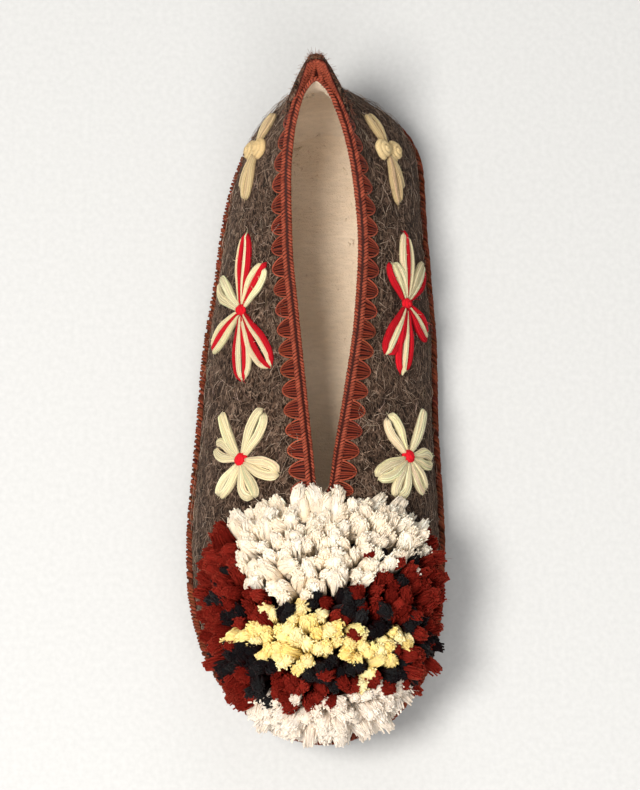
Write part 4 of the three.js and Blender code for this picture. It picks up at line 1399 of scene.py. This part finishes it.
def pompom_tufts():
    """Cut tufts that radiate from the pompom's middle, as paths and the colour of each."""
    directions = even_directions(TUFTS)
    directions = unit(directions + TUFT_SCATTER * rng.standard_normal(directions.shape))
    right, back, up = directions.T
    corners = 2 * np.abs(right) * np.maximum(back, 0)
    lumps = np.sin(9 * right + 3) * np.sin(8 * back) * np.sin(10 * up + 1)
    reach = TUFT_REACH["all"] + TUFT_REACH["heel_corners"] * corners + TUFT_REACH["lumps"] * lumps
    reach = reach + np.where(back > 0, TUFT_REACH["heel"], TUFT_REACH["toe"]) * back**2
    reach = reach + rng.normal(0, TUFT_REACH["spread"], TUFTS)
    tips = directions * POMPOM_HALVES * reach[:, None]
    t = TUFT_STEPS
    lean = unit(directions * np.array([1.0, 1.0, TUFT_UPRIGHT]) + np.array([0, 0, TUFT_RISE]))
    paths = tips[:, None] - TUFT_LENGTH * lean[:, None] * (1 - t)[None, :, None]
    sway = rng.normal(0, TUFT_SWAY, (TUFTS, 3))
    sway = sway - TUFT_TRIM * (sway * lean).sum(-1, keepdims=True) * lean
    paths = paths + sway[:, None] * (t**2)[None, :, None]
    paths[..., 2] -= TUFT_DROOP * (t**2)[None] * (1 - np.abs(up))[:, None]
    colours = yarn_colours(paths[:, -1] / TUFT_REACH["all"])
    paths = paths + POMPOM_MIDDLE
    ground = wall_heights()[cell_of(paths)]
    tips = paths[:, -1]
    on_throat = (np.abs(tips[:, 0]) < THROAT_YARN["half_width"]) & (tips[:, 1] > POMPOM_MIDDLE[1])
    tip_clear = tips[:, 2] > ground[:, -1] + CLEAR_OF_WALL - np.where(on_throat, THROAT_YARN["sunk"], 0.0)
    ground = ground + np.where(on_throat, THROAT_YARN["lift"], 0.0)[:, None] * (ground > 0)
    lowest = np.where(ground > 0, ground + CLEAR_OF_WALL, POMPOM_HEM)
    kept = tip_clear & (tips[:, 2] > POMPOM_HEM + CLEAR_OF_HEM)
    paths[..., 2] = np.maximum(paths[..., 2], lowest)
    return paths[kept], colours[kept]


def pompom_bundle(shapes, paths, tints):
    """Tufts of one colour: a soft core, frayed strands round it and one stray fibre."""
    size = rng.uniform(*TUFT_SIZES, (len(paths), 1))
    across = unit(rng.standard_normal((len(paths), 1, 3)))
    ahead = unit(paths[:, -1] - paths[:, 1])
    cores = paths - CORE["short"] * ahead[:, None] * TUFT_STEPS[None, :, None]
    widths = CORE["radius"] * size * CORE_PROFILE
    shapes.yarns(cores, across, widths, np.clip(CORE["shade"] * tints, *TINT_LIMITS), sides=CORE["sides"])
    tuft = np.repeat(np.arange(len(paths)), STRANDS["count"])
    strands, side = tuft_strands(paths[tuft], size[tuft])
    widths = STRANDS["radius"] * rng.uniform(*STRAND_WIDTHS, (len(tuft), 1)) * STRAND_PROFILE
    shade = tints[tuft] * (1 + STRANDS["shades"] * rng.standard_normal((len(tuft), 1)))
    shapes.yarns(strands, side[:, None], widths, np.clip(shade, *TINT_LIMITS))
    hairs, side = tuft_strands(paths, STRAYS["spread"] * size)
    loose = STRAYS["loose"] * rng.standard_normal(side.shape)
    ahead = unit(hairs[:, -1] - hairs[:, 0]) + STRAYS["aside"] * side + loose
    hairs[:, -1] += rng.uniform(*STRAYS["reach"], (len(paths), 1)) * ahead
    shapes.yarns(hairs, side[:, None], STRAY_RADII, np.clip(tints, *TINT_LIMITS))


def tuft_strands(paths, size):
    """One curled strand in each tuft, at a random place across it, and the side it leans out to."""
    count = len(paths)
    ahead = unit(paths[:, -1] - paths[:, 1])
    side = unit(np.cross(ahead, rng.standard_normal((count, 3))))
    out = np.sqrt(rng.uniform(*STRAND_PLACES, (count, 1))) * size * STRANDS["spread"]
    t = STRAND_STEPS
    before = np.searchsorted(TUFT_STEPS, t, side="right") - 1
    before = np.minimum(before, len(TUFT_STEPS) - 2)
    share = (t - TUFT_STEPS[before]) / (TUFT_STEPS[before + 1] - TUFT_STEPS[before])
    centre = paths[:, before] * (1 - share)[None, :, None] + paths[:, before + 1] * share[None, :, None]
    strands = centre + side[:, None] * (out * STRAND_OPENING)[..., None]
    strands += rng.standard_normal(strands.shape) * STRAND_WANDER[None, :, None]
    length = STRANDS["ragged"] * rng.uniform(-1, 1, (count, 1)) - STRANDS["round"] * out**2
    strands += ahead[:, None] * (length * t**2)[..., None]
    return strands, side


def pompom():
    paths, colours = pompom_tufts()
    for node, names, slot, sheen in BUNDLES:
        wool = yarn_finish(
            node + "_wool",
            roughness=1.0,
            specular=0.0,
            fibre=0.35,
            depth=0.15,
            soft=0.4,
            sheen=sheen,
            sheen_tint=YARN[names[0]],
        )
        shapes = Shapes()
        for name in names:
            chosen = paths[colours == name]
            pale = rng.uniform(0, 1, (len(chosen), 1)) ** TUFT_SHADES["seldom_pale"]
            tints = np.array(YARN[name]) * (1 - pale) + np.array(YARN_PALE[name]) * pale
            shade = 1 + TUFT_SHADES["spread"] * rng.standard_normal((len(chosen), 1))
            pompom_bundle(shapes, chosen, tints * shade)
        piece(node + "_yarn", shapes, wool, [node])


# Floor, light and camera

SKY = {"Color": (1.0, 0.96, 0.91, 1), "Strength": 0.28}
LIGHT_TARGET = (0.0, 0.0, 0.03)
LIGHT_COLUMNS = ("name", "place", "size", "watts", "colour")
LIGHT_ROWS = (
    ("key", (-0.42, -0.3, 1.28), 0.45, 22, (1.0, 0.94, 0.86)),
    ("fill", (0.06, -0.85, 1.05), 0.9, 8.5, (1.0, 0.95, 0.89)),
    ("back", (0.1, 1.0, 0.8), 0.8, 3.5, (1.0, 0.97, 0.93)),
)
CAMERA = {"elevation": 75.0, "distance": 1.4, "lens": 173.0, "look_at": (0.0011, 0.0, 0.03), "raise": 0.004}


def stage_floor():
    half = 6.0
    corners = [(-half, -half, 0), (half, -half, 0), (half, half, 0), (-half, half, 0)]
    mesh = bpy.data.meshes.new("floor")
    mesh.from_pydata(corners, [], [(0, 1, 2, 3)])
    paper = Finish("floor_paper", roughness=0.9, sheen=0.0, specular=0.2)
    paper.colour(paper.ramp(paper.noise(2.0, 3), (0.3, (0.50, 0.52, 0.54)), (0.7, (0.54, 0.56, 0.58))))
    mesh.materials.append(paper.material)
    floor = bpy.data.objects.new("floor", mesh)
    bpy.context.scene.collection.objects.link(floor)


def area_light(name, place, size, watts, colour):
    light = bpy.data.lights.new(name, "AREA")
    light.shape = "DISK"
    light.size = size
    light.energy = watts
    light.color = colour
    lamp = bpy.data.objects.new(name, light)
    lamp.location = place
    aim = np.subtract(place, LIGHT_TARGET)
    flat = math.hypot(aim[0], aim[1])
    lamp.rotation_euler = (math.atan2(flat, aim[2]), 0, math.atan2(aim[0], -aim[1]))
    bpy.context.scene.collection.objects.link(lamp)


def studio_light():
    for row in LIGHT_ROWS:
        area_light(**dict(zip(LIGHT_COLUMNS, row)))
    world = bpy.data.worlds.new("studio")
    world.use_nodes = True
    background = world.node_tree.nodes["Background"]
    for name, value in SKY.items():
        background.inputs[name].default_value = value
    bpy.context.scene.world = world


def camera():
    tilt = math.radians(CAMERA["elevation"])
    back = np.array([0.0, -math.cos(tilt), math.sin(tilt)])
    up = np.array([0.0, math.sin(tilt), math.cos(tilt)])
    data = bpy.data.cameras.new("camera")
    data.lens = CAMERA["lens"]
    data.sensor_width = 36.0
    made = bpy.data.objects.new("camera", data)
    made.location = np.array(CAMERA["look_at"]) + CAMERA["distance"] * back + CAMERA["raise"] * up
    made.rotation_euler = (math.radians(90 - CAMERA["elevation"]), 0.0, 0.0)
    bpy.context.scene.collection.objects.link(made)
    bpy.context.scene.camera = made


stage_floor()
studio_light()
camera()
bpy.context.scene.view_settings.view_transform = "Standard"
felt_upper()
for hairs in FELT_HAIRS:
    felt_hairs(**hairs)
fleece_lining()
fleece_pile()
outsole()
insole()
sole_stitches()
collar_braid()
heel_tongue()
heel_tab()
flowers()
pompom()
